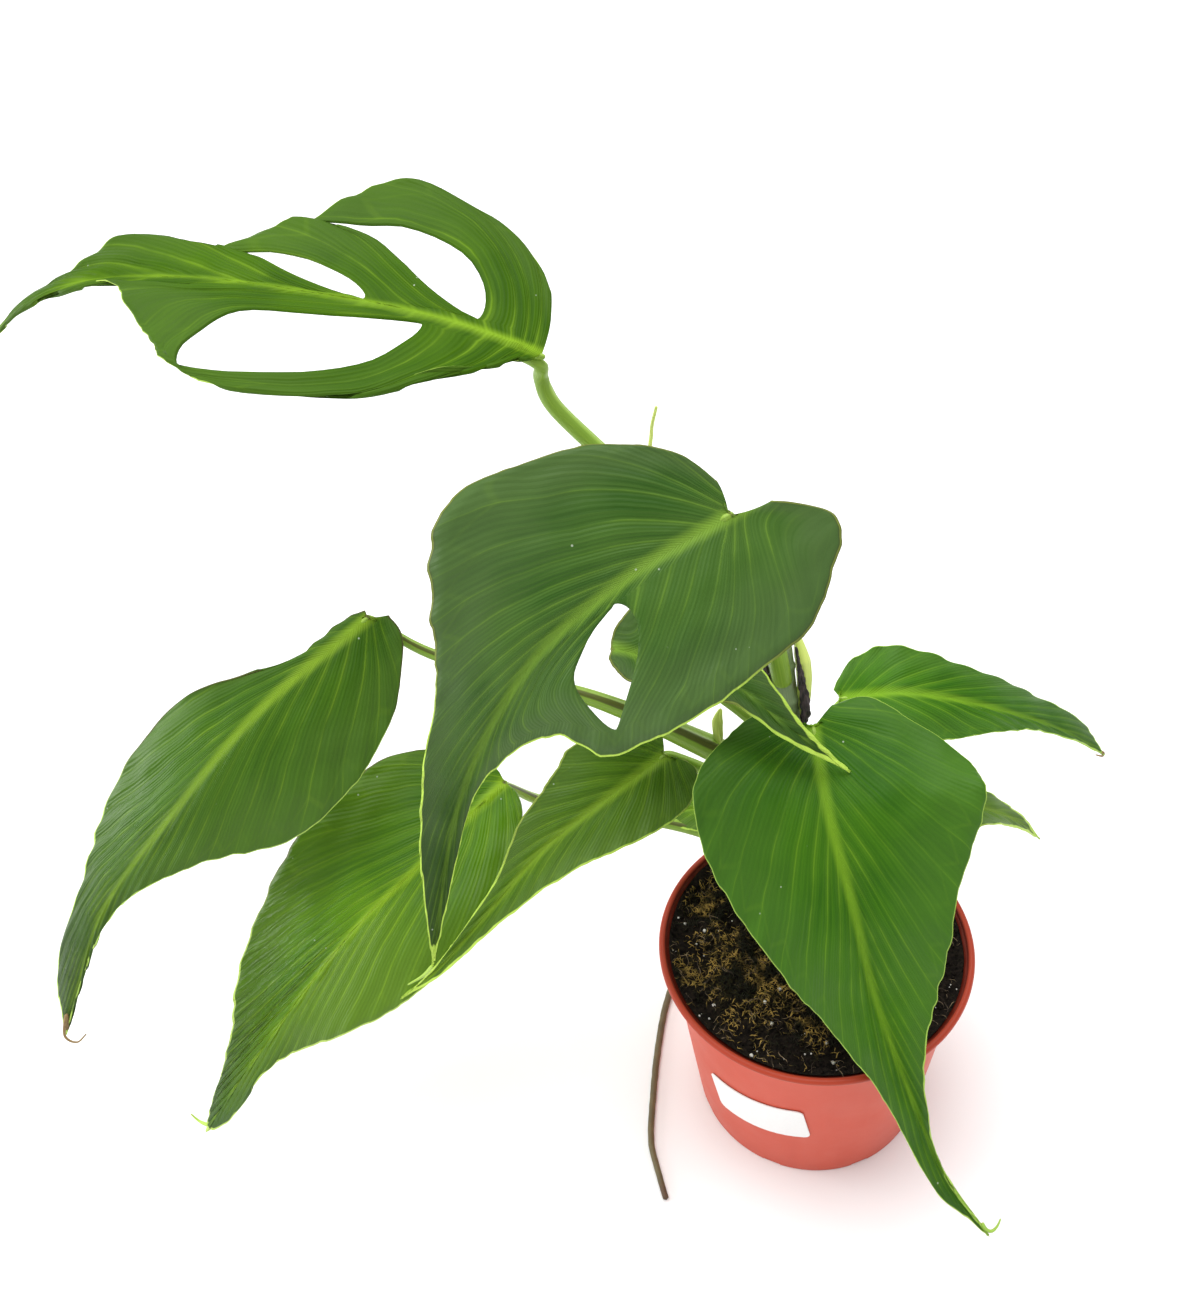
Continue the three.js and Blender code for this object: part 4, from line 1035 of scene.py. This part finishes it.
# ---- Stem ----
# The green climbing stem stands in the soil. Each old leaf has left a raised ring with a brown
# scar on it, about a finger's width from the next.

STEM_PATH = [[-2, 8, 62], [-4, 14, 110], [-6, 22, 155], [-7.5, 30, 190], [-8.5, 38, 218]]
SCARS_APART = 13


def ringed(r, s, turn):
    phase = (s / SCARS_APART) % 1
    ring = 0.12 * np.exp(-((phase - 0.5) / 0.09) ** 2)
    return r * (1 + ring + 0.02 * np.sin(9 * turn))


stem = rod("stem_grown", STEM_PATH, [4.7, 4.7, 5, 5.4, 4], sides=40, step=0.5, shape=ringed)
bark = Paint("green_stem", Roughness=0.5)
ridges = bark.lines((6, 60), 4)
colour = bark.mix(ridges, (0.12, 0.18, 0.075), (0.26, 0.36, 0.16))
colour = bark.mix(bark.step(bark.mottle(7, 5), 0.55, 0.75), colour, (0.13, 0.1, 0.04))
bark.feeds(Base_Color=colour, Normal=bark.bump(ridges, 0.2))
stem.data.materials.append(bark.material)
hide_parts("stem")
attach(stem, "root")

# ---- Dry sheaths ----
# Each leaf came out of a sheath that has since dried to a dark, crumpled, papery strip. Two of them
# still cling to the upper stem, the longer one with a hard knob at its foot.


def crumpled(r, s, turn):
    folds = 0.35 * np.sin(2 * turn + 0.25 * s) + 0.22 * np.sin(5 * turn - 0.5 * s)
    return r * (1 + folds + 0.15 * np.sin(1.7 * s + 3 * turn))


long_strip = rod("long_dry_strip", [[-2.4, 25.2, 185.5], [-1, 27, 195], [-2.4, 30, 208],
                                    [-4, 32, 220]], [1.1, 1.6, 1.0, 0.8, 0.4], 30, 0.5, crumpled)
knob = rod("knob", [[-2.6, 25.0, 182.6], [-2.4, 25.1, 184.2], [-2.3, 25.2, 186]],
           [1.3, 1.5, 1.0], 20, 0.3, crumpled)
short_strip = rod("short_dry_strip", [[-12.3, 31, 196], [-13.4, 33, 204], [-14, 35, 212]],
                  [0.6, 1.2, 0.5], 30, 0.4, crumpled)
lump_strip = rod("lump", [[-17, 31, 195], [-14.5, 31.2, 198], [-12.5, 31.5, 200]],
                 [0.8, 1.7, 0.8], 24, 0.3, crumpled)
papery = Paint("dry_papery_sheath", Roughness=0.6)
wrinkle = papery.mottle(1.2, 5, stretch=(1, 1, 0.3))
colour = papery.mix(papery.step(wrinkle, 0.35, 0.7), (0.008, 0.005, 0.005), (0.055, 0.034, 0.034))
papery.feeds(Base_Color=colour, Normal=papery.bump(wrinkle, 0.5))
for pieces, node in (([long_strip, knob], "dry_sheath_1"),
                     ([short_strip, lump_strip], "dry_sheath_2")):
    for piece in pieces:
        piece.data.materials.append(papery.material)
    piece = joined(pieces)
    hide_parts(node)
    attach(piece, "root")

# ---- New leaf ----
# The next leaf is still rolled up into a pale yellow spike. It comes out of the topmost leaf
# stalk's side, with soft pale sheaths lower down.

spike = rod("rolled_leaf", [[-8.6, 38.4, 218.7], [-12, 48, 238], [-28, 57, 260], [-45, 62, 280],
                            [-46, 64, 290], [-44, 62, 301]], [1.6, 3, 2, 0.8, 0.5], step=0.6)


def flattened(r, s, turn):
    """Broad to the side and thin, like a folded ribbon."""
    return r * np.sqrt((1.35 * np.cos(turn)) ** 2 + (0.6 * np.sin(turn)) ** 2)


sheath = joined([
    rod("pale_sheath", [[-2.4, 29, 186], [-0.5, 33, 197], [-0.6, 36, 209], [-3, 39, 223]],
        [0.8, 3.4, 3.4, 0.6], 32, 0.6, flattened),
    rod("lower_sheath", [[-29.2, 37.4, 189], [-31, 34, 185.5], [-31, 29.5, 180.5],
                         [-29, 28, 178.6]], [0.4, 1.6, 1.5, 0.6], 32, 0.5, flattened),
])
tender = Paint("tender_growth", Roughness=0.4)
folds = tender.lines((2, 24), 2)
tender.feeds(Base_Color=tender.mix(folds, (0.50, 0.66, 0.12), (0.80, 0.88, 0.22)),
             Normal=tender.bump(folds, 0.15))
for piece, node in ((spike, "new_leaf"), (sheath, "new_sheath")):
    piece.data.materials.append(tender.material)
    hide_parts(node)
    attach(piece, "root")

# ---- Aerial root ----
# One root left the stem above the soil, grew over the back of the rim and down the wall, and now
# lies along the table. It is thin, tough and olive brown, with a reddish brown growing tip.

ROOT_PATH = [[-3.5, 18, 97], [-5, 36, 104], [-7, 54, 104], [-10, 63.5, 96], [-14, 66, 80],
             [-24, 66, 45], [-38, 63, 14], [-50, 53, 3], [-58, 36, 1.7], [-64, 14, 1.65],
             [-68, -6, 1.65], [-71, -26, 1.65], [-69.5, -40, 1.65], [-67.5, -52, 1.65]]


def knotty(r, s, turn):
    return r * (1 + 0.05 * np.sin(s * 0.9) * np.sin(s * 0.23 + turn) + 0.03 * np.sin(3 * turn))


root = rod("aerial_root_grown", ROOT_PATH, [1.9, 1.5, 1.45, 1.45, 1.2], sides=20, step=0.8,
           shape=knotty)
rind = Paint("root_rind", Roughness=0.65)
along = rind.part(rind.node("UVMap", uv_map="UVMap"), 0)
colour = rind.mix(rind.mottle(5, 5), (0.06, 0.045, 0.02), (0.17, 0.14, 0.06))
colour = rind.mix(rind.step(along, 0.965, 0.985), colour, (0.09, 0.05, 0.025))
rind.feeds(Base_Color=colour, Normal=rind.bump(rind.mottle(1, 4), 0.15))
root.data.materials.append(rind.material)
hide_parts("aerial_root")
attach(root, "root")
